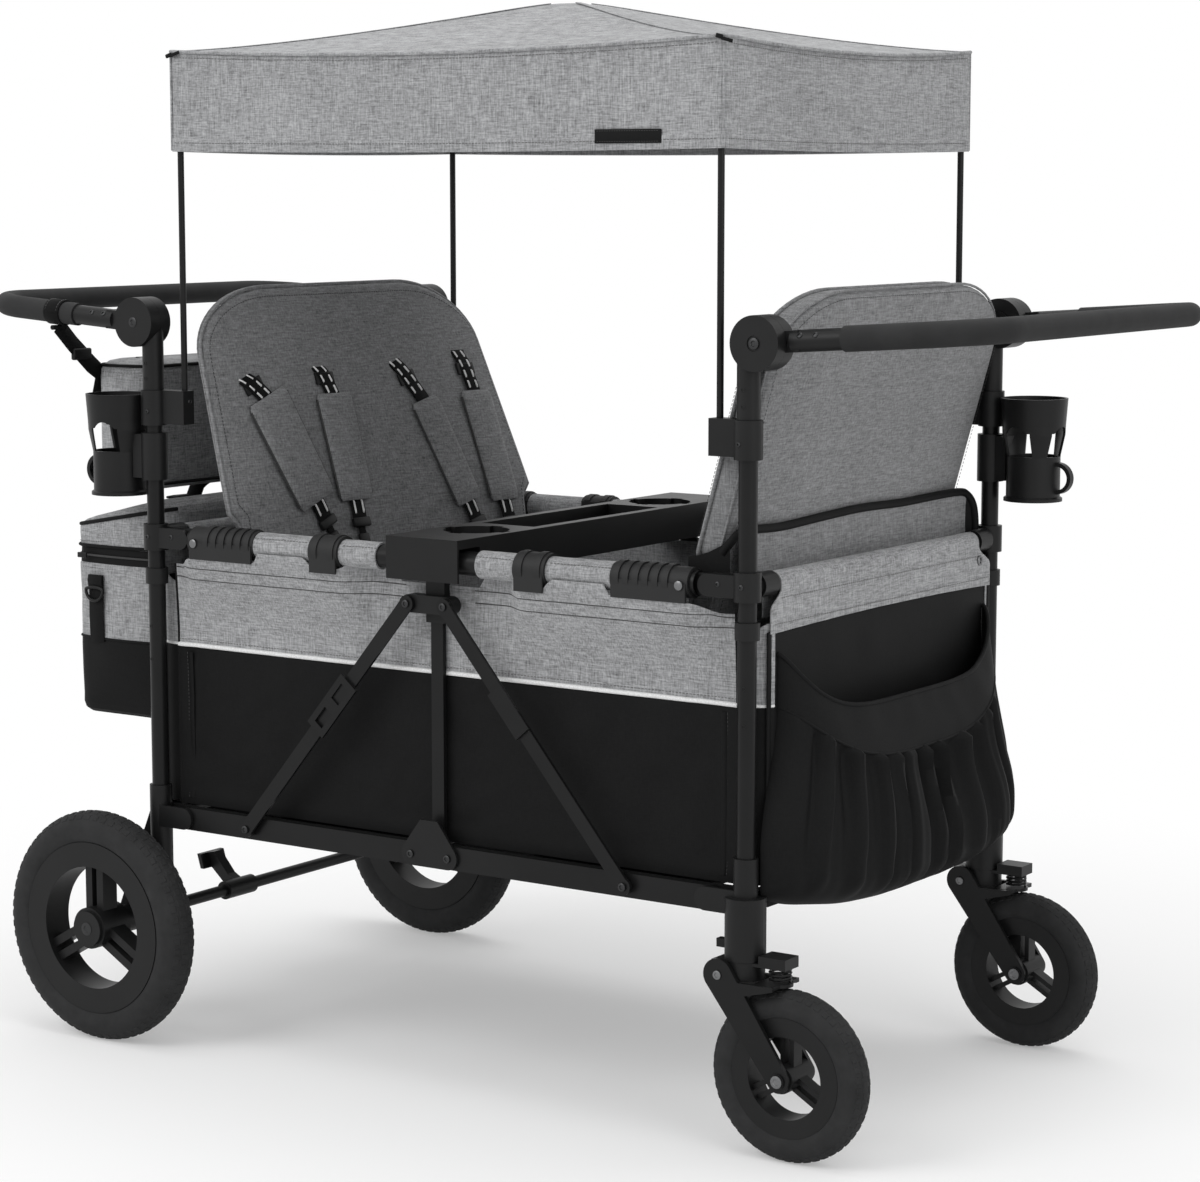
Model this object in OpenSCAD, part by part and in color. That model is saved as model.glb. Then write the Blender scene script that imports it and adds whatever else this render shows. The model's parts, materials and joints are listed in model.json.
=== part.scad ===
// Stroller wagon: a folding two-ended push wagon with facing seats, a canopy, a console tray and bags.
// Millimetres. +X is the front (caster) end, -Y the right side, +Z up, the ground is z = 0.

/* [Frame] */
// half the distance between the rear and front posts
post_x = 446; // [400:1:500]
// half the distance between the left and right posts
post_y = 294; // [260:1:330]
// post and cross tube diameter
post_d = 22; // [19:0.5:26]
// distance of the rail pivots from the middle, at the columns
mid_x = 28; // [26:1:34]
// height of the upper rails
rail_z = 656; // [620:1:700]
// height of the lower rails
low_z = 294; // [280:1:320]
// upper rail tube diameter
rail_d = 29; // [26:0.5:30]

/* [Handles] */
// height of the handle hubs
hub_z = 931; // [900:1:980]
// hub axis outside the post
hub_out = 17; // [10:1:20]
// hub disc diameter
hub_d = 63; // [56:1:66]
// hub axis to handle bar
reach = 272; // [220:1:320]
// rise of the handle at rest
rise = 4; // [0:1:10]
// foam grip diameter
grip_d = 29; // [26:0.5:34]

/* [Wheels] */
// rear wheel diameter
rear_d = 300; // [260:1:320]
// front wheel diameter
front_d = 200; // [180:1:204]
// caster trail
trail = 62; // [50:1:70]

/* [Canopy] */
// hem height
hem_z = 1146; // [1100:1:1200]
// height of the hanging sides
valance = 124; // [90:1:150]
// rise of the roof from its edge to its peak
roof_rise = 61; // [40:1:100]
// pole diameter
pole_d = 8; // [6:0.5:9]

/* [Seats] */
// lean of the front seat's back
lean = 16; // [10:1:20]
// lean of the rear seat's face
rear_lean = 24; // [18:1:26]
// top of the seat backs above the hubs
seat_rise = 44; // [20:1:50]
// height of the benches above the floor
bench_rise = 164; // [120:1:180]

/* [Tray] */
// half width of the tray along the wagon
tray_x = 54; // [50:1:70]
// cup hole diameter
cup_d = 82; // [70:1:88]

/* [Hidden] */
$fn = 48;
pr = post_d / 2;
rr = rail_d / 2;
hub_x = post_x + hub_out;
half = 18;
pivot_x = post_x - 48;
rear_x = post_x + 54;
rear_y = post_y + 58;
pole_x = post_x - 44;
pole_y = post_y - 10;
edge_z = hem_z + valance;
peak_z = edge_z + roof_rise;
bench_z = low_z + 12 + bench_rise;
tub_half = post_y - 30;
shelf_z = rail_z + 32;
mark_z = hub_z - 57;
rear_face = 108;
tray_z = rail_z + 29;
arm_r = post_y - 9.3;
arm_l = post_y + 9.3;
bend = 70;
caster_x = post_x + trail;
front_r = front_d / 2;
rear_r = rear_d / 2;
front_tube = 19;
rear_tube = 24;
head_z = front_d + 6;
head_top = head_z + 21.6;
spring_z = head_z + 1;
plate_z = head_z + 18;
fork_px = post_x - 19;
fork_pz = head_z + 6;
strut_z = rail_z - 53;
strut_x = mid_x + 260;
grip_x = pivot_x - 128;
strut_l = sqrt(pow(strut_x - mid_x, 2) + pow(strut_z - low_z, 2));
strut_a = atan2(strut_x - mid_x, strut_z - low_z);
loop_s = 137;
roll_z = hub_z + loop_s * sin(rise) - 19.8 * cos(rise);
roll_x = hub_x + loop_s * cos(rise) + 19.8 * sin(rise);

black = "#262628";
steel = "#2b2b2d";
grey = "#97989a";
dark = "#6a6a6d";
nylon = "#1b1b1c";
rubber = "#3b3b3d";

// helpers
module both() {
  children();
  mirror([0, 1, 0]) children();
}

module rear_end() {
  rotate([0, 0, 180]) children();
}

module ycyl(r, y0, y1, x = 0, z = 0) {
  translate([x, y0, z]) rotate([-90, 0, 0]) cylinder(r = r, h = y1 - y0);
}

module xcyl(r, x0, x1, y = 0, z = 0) {
  translate([x0, y, z]) rotate([0, 90, 0]) cylinder(r = r, h = x1 - x0);
}

module zcyl(r, z0, z1, x = 0, y = 0) {
  translate([x, y, z0]) cylinder(r = r, h = z1 - z0);
}

module block(x0, x1, y0, y1, z0, z1) {
  translate([x0, y0, z0]) cube([x1 - x0, y1 - y0, z1 - z0]);
}

// a plate drawn in x and z, between two y values
module plate(y0, y1) {
  translate([0, y1, 0]) rotate([90, 0, 0]) linear_extrude(height = y1 - y0) children();
}

// a bar with round ends, drawn flat
module stadium(x0, x1, z, r) {
  translate([x0, z]) circle(r = r);
  translate([x1, z]) circle(r = r);
  translate([x0, z - r]) square([x1 - x0, 2 * r]);
}

// closed loops joined along their order, each end closed by the polygons of caps or by one
module loft(loops, caps = []) {
  n = len(loops);
  m = len(loops[0]);
  pts = [for (l = loops) each l];
  sides = [for (k = [0:n - 2]) for (i = [0:m - 1]) each
    let (a = k * m + i, b = k * m + (i + 1) % m) [[a, b, b + m], [a, b + m, a + m]]];
  ends = len(caps) > 0 ? caps : [[for (i = [0:m - 1]) i]];
  first = [for (q = ends) [for (i = [len(q) - 1:-1:0]) q[i]]];
  last = [for (q = ends) [for (i = q) (n - 1) * m + i]];
  polyhedron(points = pts, faces = concat(sides, first, last), convexity = 8);
}

// two matching grids of points closed into a sheet: outer grid, inner grid
module sheet(outer, inner) {
  n = len(outer);
  m = len(outer[0]);
  k = n * m;
  pts = concat([for (r = outer) each r], [for (r = inner) each r]);
  top = [for (i = [0:n - 2]) for (j = [0:m - 2]) each
    let (a = i * m + j) [[a, a + 1, a + m + 1], [a, a + m + 1, a + m]]];
  low = [for (i = [0:n - 2]) for (j = [0:m - 2]) each
    let (a = k + i * m + j) [[a, a + m + 1, a + 1], [a, a + m, a + m + 1]]];
  e1 = [for (j = [0:m - 2]) each let (a = j) [[a, k + a + 1, a + 1], [a, k + a, k + a + 1]]];
  e2 = [for (j = [0:m - 2]) each
    let (a = (n - 1) * m + j) [[a, a + 1, k + a + 1], [a, k + a + 1, k + a]]];
  e3 = [for (i = [0:n - 2]) each let (a = i * m) [[a, a + m, k + a + m], [a, k + a + m, k + a]]];
  e4 = [for (i = [0:n - 2]) each
    let (a = i * m + m - 1) [[a, k + a + m, a + m], [a, k + a, k + a + m]]];
  polyhedron(points = pts, faces = concat(top, low, e1, e2, e3, e4), convexity = 8);
}

// end frames
module posts(zb) {
  color(steel) difference() {
    union() {
      both() zcyl(pr, zb, hub_z - 35, post_x, -post_y);
      ycyl(pr, -post_y, post_y, post_x, rail_z);
      ycyl(pr, -post_y, post_y, post_x, low_z);
    }
    both() zcyl(pr - 1.6, zb - 1, hub_z - 34, post_x, -post_y);
    ycyl(pr - 1.6, -post_y, post_y, post_x, rail_z);
    ycyl(pr - 1.6, -post_y, post_y, post_x, low_z);
  }
}

module hub(y, button) {
  difference() {
    union() {
      zcyl(13.5, hub_z - 86, hub_z, post_x, y);
      ycyl(hub_d / 2, y - half, y, hub_x, hub_z);
    }
    zcyl(pr, hub_z - 87, hub_z - 35, post_x, y);
    ycyl(hub_d / 2 + 0.6, y, y + 40, hub_x, hub_z);
    if (button) ycyl(15.05, y - half - 1, y - 7, hub_x, hub_z);
    if (!button) ycyl(9, y - half - 1, y - half + 1.2, hub_x, hub_z);
  }
  if (!button) ycyl(5.5, y - half, y - half + 1.2, hub_x, hub_z);
  ycyl(5, y, y + half + 0.3, hub_x, hub_z);
}

module hubs() {
  color(black) hub(-post_y, false);
  color(black) hub(post_y, true);
}

module button() {
  color(black) ycyl(15, post_y - half - 3, post_y - 10, hub_x, hub_z);
}

// upper corner brackets with collars, cross tube fittings and canopy sockets
module bracket() {
  difference() {
    union() {
      zcyl(16, rail_z - 16.5, rail_z + 17, post_x, -post_y);
      plate(-post_y - 10, -post_y - 4.4) {
        stadium(pivot_x, post_x - 10, rail_z, 13);
      }
      plate(-post_y + 4.4, -post_y + 10) {
        stadium(pivot_x, post_x - 10, rail_z, 13);
      }
      ycyl(3.95, -post_y - 10, -post_y + 10, pivot_x, rail_z);
    }
    zcyl(pr, 0, hub_z, post_x, -post_y);
    ycyl(pr, -post_y, -post_y + 24, post_x, rail_z);
  }
  difference() {
    zcyl(14.5, rail_z - 60, rail_z - 40, post_x, -post_y);
    zcyl(pr, 0, hub_z, post_x, -post_y);
  }
  difference() {
    ycyl(14.5, -post_y + 17, -post_y + 48, post_x, rail_z);
    ycyl(pr, -post_y + 4, -post_y + 54, post_x, rail_z);
  }
  difference() {
    union() {
      zcyl(16.5, hub_z - 131, hub_z - 86.3, post_x, -post_y);
      block(pole_x - 8, post_x - 8, -pole_y - 12, -pole_y + 8, hub_z - 129, hub_z - 86.3);
    }
    zcyl(pr, 0, hub_z, post_x, -post_y);
    zcyl(pole_d / 2 + 0.1, hub_z - 123, hub_z - 71, pole_x, -pole_y);
  }
}

module brackets() {
  color(black) both() bracket();
}

module low_arms(x) {
  plate(-post_y - 12.5, -post_y - 7.5) stadium(pivot_x, x, low_z, 14);
  plate(-post_y + 7.5, -post_y + 12.5) stadium(pivot_x, x, low_z, 14);
  ycyl(3.95, -post_y - 12.5, -post_y + 12.5, pivot_x, low_z);
}

// cup holder with a cut-away front, hung on the left front post
module cup_holder() {
  cx = post_x + 60.5;
  z0 = hub_z - 223;
  color(black) difference() {
    union() {
      translate([cx, post_y, z0]) rotate_extrude() polygon([[0, 0], [37, 0], [37, 4], [34, 6], [34, 56],
        [39.5, 84], [40, 96], [42.5, 130], [39.5, 130], [37, 96], [36.5, 84], [31, 56], [31, 6], [0, 6]]);
      zcyl(17, z0 + 22, z0 + 82, post_x, post_y);
      block(post_x, cx - 33.5, post_y - 12, post_y + 12, z0 + 24, z0 + 80);
      difference() {
        plate(post_y - 5, post_y + 5) translate([cx + 34, z0 + 30]) circle(r = 20);
        plate(post_y - 6, post_y + 6) translate([cx + 34, z0 + 30]) circle(r = 15);
        zcyl(33, z0 + 5, z0 + 60, cx, post_y);
      }
    }
    zcyl(pr, 0, hub_z, post_x, post_y);
    for (a = [0, 100, -100]) translate([cx, post_y, z0 + 76]) rotate([0, 0, a]) rotate([0, 90, 0])
      linear_extrude(height = 60) {
        circle(r = 19);
        translate([-11, -19]) square([30, 38]);
      }
  }
}

// handle: arm halves with the bar that carries the grip
module arm(y) {
  difference() {
    union() {
      ycyl(hub_d / 2, y - 9, y + 9);
      block(20, 46, y - 8.5, y + 8.5, -12, 12);
      xcyl(12.5, 36, 102, y);
    }
    ycyl(5.05, y - 20, y + 20);
  }
}

module bar_path(r, x0) {
  for (y = [-arm_r, arm_l]) xcyl(r, x0, reach - bend, y);
  translate([reach, 0, 0]) ycyl(r, -arm_r + bend, arm_l - bend);
  translate([reach - bend, arm_l - bend, 0]) rotate_extrude(angle = 90) translate([bend, 0]) circle(r = r);
  translate([reach - bend, -arm_r + bend, 0]) rotate([0, 0, -90])
    rotate_extrude(angle = 90) translate([bend, 0]) circle(r = r);
}

module handle_frame() {
  translate([hub_x, 0, hub_z]) rotate([0, -rise, 0]) children();
}

module handle() {
  color(black) handle_frame() {
    arm(-arm_r);
    arm(arm_l);
    bar_path(9, 100);
  }
}

module grip() {
  color(nylon) handle_frame() difference() {
    bar_path(grip_d / 2, 102);
    bar_path(9, 101);
  }
}

// rear wheel, drawn about its centre with the outside at -y
module rear_tyre() {
  color(rubber) rotate([90, 0, 0]) rotate_extrude() translate([rear_r - rear_tube, 0]) circle(r = rear_tube);
}

module spokes(r0, r1, w, d, gap) {
  for (k = [0:2]) rotate([0, 30 + 120 * k, 0]) for (s = [-1, 1])
    translate([r0, -d / 2, s * gap / 2 + (s < 0 ? -w : 0)]) cube([r1 - r0, d, w]);
}

module rear_rim() {
  color(black) difference() {
    union() {
      rotate([90, 0, 0]) rotate_extrude() difference() {
        translate([rear_r - 70, -21]) square([32, 42]);
        translate([rear_r - rear_tube, 0]) circle(r = rear_tube);
      }
      spokes(20, rear_r - 68, 11, 26, 8);
      ycyl(27, -24, 25);
      ycyl(23, -29, -24);
    }
    ycyl(6.05, -24, 30);
  }
}

module rear_wheel_at(s) {
  translate([-rear_x, s * rear_y, rear_r]) rotate([0, 0, s > 0 ? 180 : 0]) children();
}

module rear_tyre_r() {
  rear_wheel_at(-1) rear_tyre();
}

module rear_rim_r() {
  rear_wheel_at(-1) rear_rim();
}

module rear_tyre_l() {
  rear_wheel_at(1) rear_tyre();
}

module rear_rim_l() {
  rear_wheel_at(1) rear_rim();
}

// front caster, right one at the post; left one is its mirror image
module head() {
  zcyl(23, head_z, head_top, post_x, -post_y);
  zcyl(6, head_z + 21, head_z + 39, post_x, -post_y);
  block(post_x + 8, caster_x - 4, -post_y - 15, -post_y + 15, plate_z, head_top);
  block(post_x + 26.5, caster_x, -post_y - 15, -post_y + 15, plate_z, plate_z + 13);
  block(fork_px - 13, post_x, -post_y - 22, -post_y + 22, head_z, head_top);
  ycyl(13, -post_y - 22, -post_y + 22, fork_px, fork_pz);
  ycyl(5, -post_y - 31, -post_y + 31, fork_px, fork_pz);
}

module fork_arm() {
  difference() {
    union() {
      translate([fork_px, fork_pz]) circle(r = 19);
      translate([caster_x, front_r]) circle(r = 14);
      polygon([[fork_px - 15.2, fork_pz - 11.4], [fork_px + 15.6, fork_pz + 10.8],
        [caster_x + 11.4, front_r + 8.2], [caster_x - 11.4, front_r - 8.2]]);
      polygon([[fork_px + 10, fork_pz - 6], [fork_px + 12, fork_pz - 26],
        [caster_x - 8, spring_z - 5], [caster_x - 8, spring_z]]);
    }
    translate([fork_px, fork_pz]) circle(r = 5.05);
  }
}

module fork() {
  plate(-post_y - 30, -post_y - 24.5) fork_arm();
  plate(-post_y + 24.5, -post_y + 30) fork_arm();
  block(post_x + 26, caster_x - 8, -post_y - 24.5, -post_y + 24.5, spring_z - 4, spring_z);
  zcyl(15, spring_z - 4, spring_z, caster_x - 15, -post_y);
  ycyl(5, -post_y - 33, -post_y + 33, caster_x, front_r);
  ycyl(9, -post_y - 32, -post_y - 30, caster_x, front_r);
  ycyl(9, -post_y + 30, -post_y + 32, caster_x, front_r);
}

module spring() {
  turns = 3.25;
  steps = 26;
  wire = 1.7;
  z0 = spring_z + wire;
  z1 = plate_z - wire;
  rad = 12.5;
  loops = [for (k = [0:steps]) let (a = 360 * turns * k / steps, z = z0 + (z1 - z0) * k / steps)
    [for (i = [0:5]) let (b = 60 * i, q = rad + wire * cos(b))
      [caster_x - 15 + q * cos(a), -post_y + q * sin(a), z + wire * sin(b)]]];
  echo(spring_least_gap = (z1 - z0) / turns - 2 * wire);
  loft(loops);
}

module front_tyre() {
  translate([caster_x, -post_y, front_r]) rotate([90, 0, 0])
    rotate_extrude() translate([front_r - front_tube, 0]) circle(r = front_tube);
}

module front_rim() {
  translate([caster_x, -post_y, front_r]) difference() {
    union() {
      rotate([90, 0, 0]) rotate_extrude() difference() {
        translate([front_r - 52, -16]) square([22, 32]);
        translate([front_r - front_tube, 0]) circle(r = front_tube);
      }
      spokes(12, front_r - 50, 6, 18, 6);
      ycyl(16, -23.5, 23.5);
    }
    ycyl(5.05, -30, 30);
  }
}

module caster_head_r() {
  color(black) head();
}

module caster_head_l() {
  color(black) mirror([0, 1, 0]) head();
}

module fork_r() {
  color(steel) fork();
}

module fork_l() {
  color(steel) mirror([0, 1, 0]) fork();
}

module spring_r() {
  color(black) spring();
}

module spring_l() {
  color(black) translate([0, 2 * post_y, 0]) spring();
}

module front_tyre_r() {
  color(rubber) front_tyre();
}

module front_tyre_l() {
  color(rubber) mirror([0, 1, 0]) front_tyre();
}

module front_rim_r() {
  color(black) front_rim();
}

module front_rim_l() {
  color(black) mirror([0, 1, 0]) front_rim();
}

// front end
module front_posts() {
  posts(head_z + 44);
}

module front_hubs() {
  hubs();
}

module front_brackets() {
  brackets();
}

module caster_housings() {
  color(black) both() {
    difference() {
      union() {
        zcyl(14.5, head_z + 40, low_z + 51, post_x, -post_y);
        zcyl(24, head_z + 22, low_z + 6, post_x, -post_y);
        low_arms(post_x - 10);
        block(post_x - 36, post_x - 20, -post_y - 5, -post_y + 5, head_z + 32, head_z + 42);
      }
      zcyl(pr, head_z + 44, low_z + 106, post_x, -post_y);
      zcyl(6.05, head_z + 21, head_z + 40, post_x, -post_y);
      ycyl(pr, -post_y, -post_y + 34, post_x, low_z);
    }
  }
}

module end_panel() {
  w = post_y - 52;
  wide = post_y - 26;
  color(nylon) {
    difference() {
      ycyl(15, -w, w, post_x, rail_z);
      ycyl(pr, -w - 8, w + 8, post_x, rail_z);
      block(post_x - 20, post_x + 20, -w - 8, w + 8, rail_z - 20, rail_z);
    }
    block(post_x + pr, post_x + 15, -w, w, low_z - 11, rail_z);
    block(post_x - 15, post_x - pr, -w, w, rail_z - 45, rail_z);
    block(post_x + pr, post_x + 15, -wide, wide, low_z + 20, rail_z - 56);
  }
}

module front_end_panel() {
  end_panel();
}

// gathered basket: a yoke round the mouth and a flared skirt below, hung from its sides and its bottom
// e is 0 at the two ends and 1 in the middle
function bask_e(t) = pow(max(0, 1 - pow(abs(t), 4)), 0.6);
function bask_mouth(t) = low_z + 207 + 74 * pow(abs(t), 5);
function bask_seam(t) = low_z + 146 + 74 * pow(abs(t), 3.2);
function bask_out(v) = v < 0.25 ? 36 + 72 * v
  : v < 0.82 ? 54 + 26 * sin(90 * (v - 0.25) / 0.57) : 80 * sqrt(max(0, 1 - pow((v - 0.82) / 0.18, 2)));
function bask_point(t, v, d) = let (
    w = (v - 0.25) / 0.75,
    pleat = v < 0.3 ? 0 : 5 * (1 - w) * cos(360 * 6 * t),
    low = low_z - 32 + 46 * pow(abs(t), 4),
    z = v < 0.25 ? bask_mouth(t) + (bask_seam(t) - bask_mouth(t)) * v * 4
      : bask_seam(t) + (low - bask_seam(t)) * w,
    y = t * (post_y - 44 + 32 * max(0, sin(90 * min(1, w / 0.75)))))
  [post_x + 18 - d + max(0, bask_out(v) + pleat) * bask_e(t), y * (1 - 0.004 * d), z + d * max(0, w)];

module front_basket() {
  nu = 32;
  nv = 12;
  grid = function (d) [for (j = [0:nv]) [for (i = [0:nu]) bask_point(sin(90 * (2 * i / nu - 1)), j / nv, d)]];
  color(nylon) sheet(grid(0), grid(3));
}

module front_cup_holder() {
  cup_holder();
}

// seat: an upholstered back on a bench
// outline of a back in y and z: wide above the rails, narrower inside the tub
function back_outline(w, top, inset) = let (
    n = tub_half - inset,
    wi = w - inset,
    low = bench_z + 0.3 + inset,
    shelf = shelf_z + inset,
    ry = 150 - inset,
    rz = 100 - inset,
    arc_z = top - inset - rz,
    left = concat([[n, low], [n, shelf], [wi, shelf], [wi, (shelf + arc_z) / 2]],
      [for (k = [0:6]) [wi - ry + ry * cos(15 * k), arc_z + rz * sin(15 * k)]]))
  concat(left, [for (k = [len(left) - 1:-1:0]) [-left[k][0], left[k][1]]]);

// distance of a face from the middle at a height: x at the mark, its lean above the shelf, and below it
function plane_at(z, q) = let (h = max(z, shelf_z))
  q[0] + (h - mark_z) * tan(q[1]) + (z - h) * tan(q[2]);

module seat(w, top, face, back, xb) {
  rings = [for (q = [[1, 8], [0.84, 0], [0.16, 0], [0, 8]]) [for (p = back_outline(w, top, q[1]))
    [(1 - q[0]) * plane_at(p[1], face) + q[0] * plane_at(p[1], back), p[0], p[1]]]];
  m = len(rings[0]);
  rows = [for (k = concat([0], [for (i = [3:m / 2 - 2]) i])) each
    [[k, k + 1, m - 2 - k], [k, m - 2 - k, m - 1 - k]]];
  loft(rings, concat(rows, [[1, 2, 3], [1, 3, m - 4], [1, m - 4, m - 2], [m - 2, m - 4, m - 3]]));
  f = plane_at(bench_z, face);
  o = plane_at(bench_z, back);
  b = low_z + 12.3;
  loft([for (k = [8:-1:-8]) let (y = tub_half * sin(90 * k / 8), e = pow(abs(k) / 8, 6) * 12)
    [[xb + e, y, b], [xb - 4 + e, y, (b + bench_z) / 2], [xb + 6 + e, y, bench_z - 14 - e],
      [xb + 26 + e, y, bench_z - 3 - e], [(xb + f) / 2, y, bench_z - e], [o, y, bench_z - e], [o, y, b]]]);
}

module front_seat() {
  color(dark) seat(post_y - 20, hub_z + seat_rise + 10, [post_x - 39, lean, lean], [post_x + 14, lean, lean],
    mid_x + 82);
}

module rear_seat() {
  color(dark) mirror([1, 0, 0]) seat(post_y - 17, hub_z + seat_rise, [post_x - rear_face, rear_lean, 6.4],
    [post_x - 61, 12.6, 12.6], mid_x + 32);
}

// harness on the rear seat face: webbing, pads and buckles
module rear_harness() {
  color(nylon) translate([rear_face - post_x, 0, mark_z]) rotate([0, -rear_lean, 0])
    for (q = [[-229, 10], [-80, -12.5], [80, 10.4], [228, -9]]) {
      translate([0, q[0], 4]) rotate([q[1], 0, 0]) {
        block(0.3, 3, -10, 10, -195, 0);
        block(3, 12, -21, 21, -178, -38);
        block(3, 11, -13, 13, -200, -181);
      }
    }
}

module front_handle() {
  handle();
}

module front_grip() {
  grip();
}

module front_button() {
  button();
}

module front_poles() {
  color(steel) both() zcyl(pole_d / 2, hub_z - 123, edge_z - 12, pole_x, -pole_y);
}

// rear end
module rear_posts() {
  rear_end() posts(low_z - 62);
}

module rear_hubs() {
  rear_end() hubs();
}

module rear_brackets() {
  rear_end() brackets();
}

module rear_lower_mounts() {
  color(black) rear_end() difference() {
    union() {
      both() {
        zcyl(14.5, low_z - 69, low_z + 39, post_x, -post_y);
        low_arms(post_x - 10);
        plate(-post_y - 6, -post_y + 6) polygon([[post_x - 12, low_z + 6], [post_x - 12, low_z - 68],
          [rear_x - 14, rear_r - 12], [rear_x + 14, rear_r - 12], [rear_x + 16, rear_r + 16],
          [post_x + 13, low_z + 6]]);
        ycyl(18, -post_y - 24, -post_y + 10, rear_x, rear_r);
        ycyl(6, -rear_y - 23, -post_y - 6, rear_x, rear_r);
      }
      ycyl(8, -post_y - 16, post_y + 16, rear_x, rear_r);
    }
    both() zcyl(pr, low_z - 62, low_z + 106, post_x, -post_y);
    ycyl(pr, -post_y, -post_y + 34, post_x, low_z);
    ycyl(pr, post_y - 34, post_y, post_x, low_z);
  }
}

module brake_pedal() {
  color(black) difference() {
    union() {
      ycyl(12.5, -112, -56, -rear_x, rear_r);
      plate(-92, -76) polygon([[8 - rear_x, rear_r - 4], [-rear_x - 8, rear_r - 4],
        [-rear_x - 40, rear_r + 24], [-rear_x - 46, rear_r + 44], [-rear_x - 36, rear_r + 46],
        [-rear_x - 12, rear_r + 18], [10 - rear_x, rear_r + 6]]);
      plate(-108, -60) polygon([[-rear_x - 40, rear_r + 24], [-rear_x - 46, rear_r + 44],
        [-rear_x - 52, rear_r + 44], [-rear_x - 46, rear_r + 24]]);
    }
    ycyl(8.05, -200, 0, -rear_x, rear_r);
  }
}

module rear_end_panel() {
  rear_end() end_panel();
}

module rear_cup_holder() {
  rear_end() cup_holder();
}

// a bag with crowned faces: the face at x1 is left flat, and tilt slopes the lid
module pillow(x0, x1, y0, y1, z0, z1, b, tilt = 0) {
  n = 6;
  g = function (t) 4 * t * (1 - t);
  mx = x1 - x0;
  my = y1 - y0;
  mz = z1 - z0;
  lift = function (x, v) tilt * (x - (x0 + x1) / 2) * max(0, (v - 0.78) / 0.22);
  raw = [for (j = [0:n]) let (v = j / n, d = 14 * pow(abs(2 * v - 1), 6)) concat(
    [for (i = [0:n]) let (u = i / n)
      [x0 - b * g(u) * g(v) + d, y0 + d * 0.6 + (my - 1.2 * d) * u, z0 + mz * v]],
    [for (i = [1:n]) let (u = i / n) [x0 + d + (mx - d) * u, y1 - d * 0.6 + b * g(u) * g(v), z0 + mz * v]],
    [for (i = [1:n]) let (u = i / n) [x1, y1 - d * 0.6 - (my - 1.2 * d) * u, z0 + mz * v]],
    [for (i = [1:n - 1]) let (u = i / n) [x1 - (mx - d) * u, y0 + d * 0.6 - b * g(u) * g(v), z0 + mz * v]])];
  rows = [for (j = [0:n]) [for (p = raw[j]) [p[0], p[1], p[2] + lift(p[0], j / n)]]];
  m = 4 * n;
  k = (n + 1) * m;
  pts = concat([for (r = rows) each r],
    [[(x0 + x1) / 2, (y0 + y1) / 2, z0], [(x0 + x1) / 2, (y0 + y1) / 2, z1 + b]]);
  faces = concat(
    [for (j = [0:n - 1]) for (i = [0:m - 1]) each let (a = j * m + i, c = j * m + (i + 1) % m)
      [[a, c, c + m], [a, c + m, a + m]]],
    [for (i = [0:m - 1]) [(i + 1) % m, i, k]],
    [for (i = [0:m - 1]) [n * m + i, n * m + (i + 1) % m, k + 1]]);
  polyhedron(points = pts, faces = faces, convexity = 6);
}

module cooler_bag() {
  color(grey) pillow(-post_x - 186, -post_x - 15, 48 - post_y, post_y - 48,
    low_z + 108, rail_z + 34, 8, 0.18);
}

module organizer_bag() {
  color(grey) {
    pillow(-roll_x - 4, -roll_x + 100, 54 - post_y, post_y - 54, hub_z - 225, hub_z - 47, 7);
    for (s = [[-1, arm_l], [1, arm_r]]) {
      ycyl(3, s[0] * s[1] - 12, s[0] * s[1] + 12, -roll_x, roll_z);
      translate([-roll_x - 1.2, 0, 0]) rotate([90, 0, 90]) linear_extrude(height = 2.4)
        polygon([[s[0] * (s[1] + 12), roll_z], [s[0] * (s[1] - 12), roll_z],
          [s[0] * (post_y - 88), hub_z - 73], [s[0] * (post_y - 64), hub_z - 73]]);
    }
  }
}

module organizer_loops() {
  color(nylon) rear_end() handle_frame() for (y = [-arm_r, arm_l]) difference() {
    xcyl(16.5, loop_s - 13, loop_s + 13, y);
    xcyl(grip_d / 2, loop_s - 14, loop_s + 14, y);
  }
}

module rear_handle() {
  rear_end() handle();
}

module rear_grip() {
  rear_end() grip();
}

module rear_button() {
  rear_end() button();
}

module rear_poles() {
  rear_end() front_poles();
}

// sides
module lower_rails() {
  color(steel) both() difference() {
    plate(-post_y - 7, -post_y + 7) stadium(mid_x, pivot_x, low_z, 14.4);
    ycyl(4, -post_y - 16, -post_y + 14, mid_x, low_z);
    ycyl(4, -post_y - 16, -post_y + 14, pivot_x, low_z);
    block(mid_x + 20, pivot_x - 20, -post_y - 5.4, -post_y + 5.4, low_z - 20, low_z + 12.4);
  }
}

module front_lower_rails() {
  lower_rails();
}

module rear_lower_rails() {
  rear_end() lower_rails();
}

module floor_board() {
  wide = post_y - 26;
  color(nylon) block(6, pivot_x - 8, -wide, wide, low_z + 6, low_z + 12);
  color(nylon) both() for (x = [70, pivot_x - 70])
    block(x - 12, x + 12, 7 - post_y, -wide, low_z + 6, low_z + 9);
}

module front_floor() {
  floor_board();
}

module rear_floor() {
  rear_end() floor_board();
}

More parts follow.
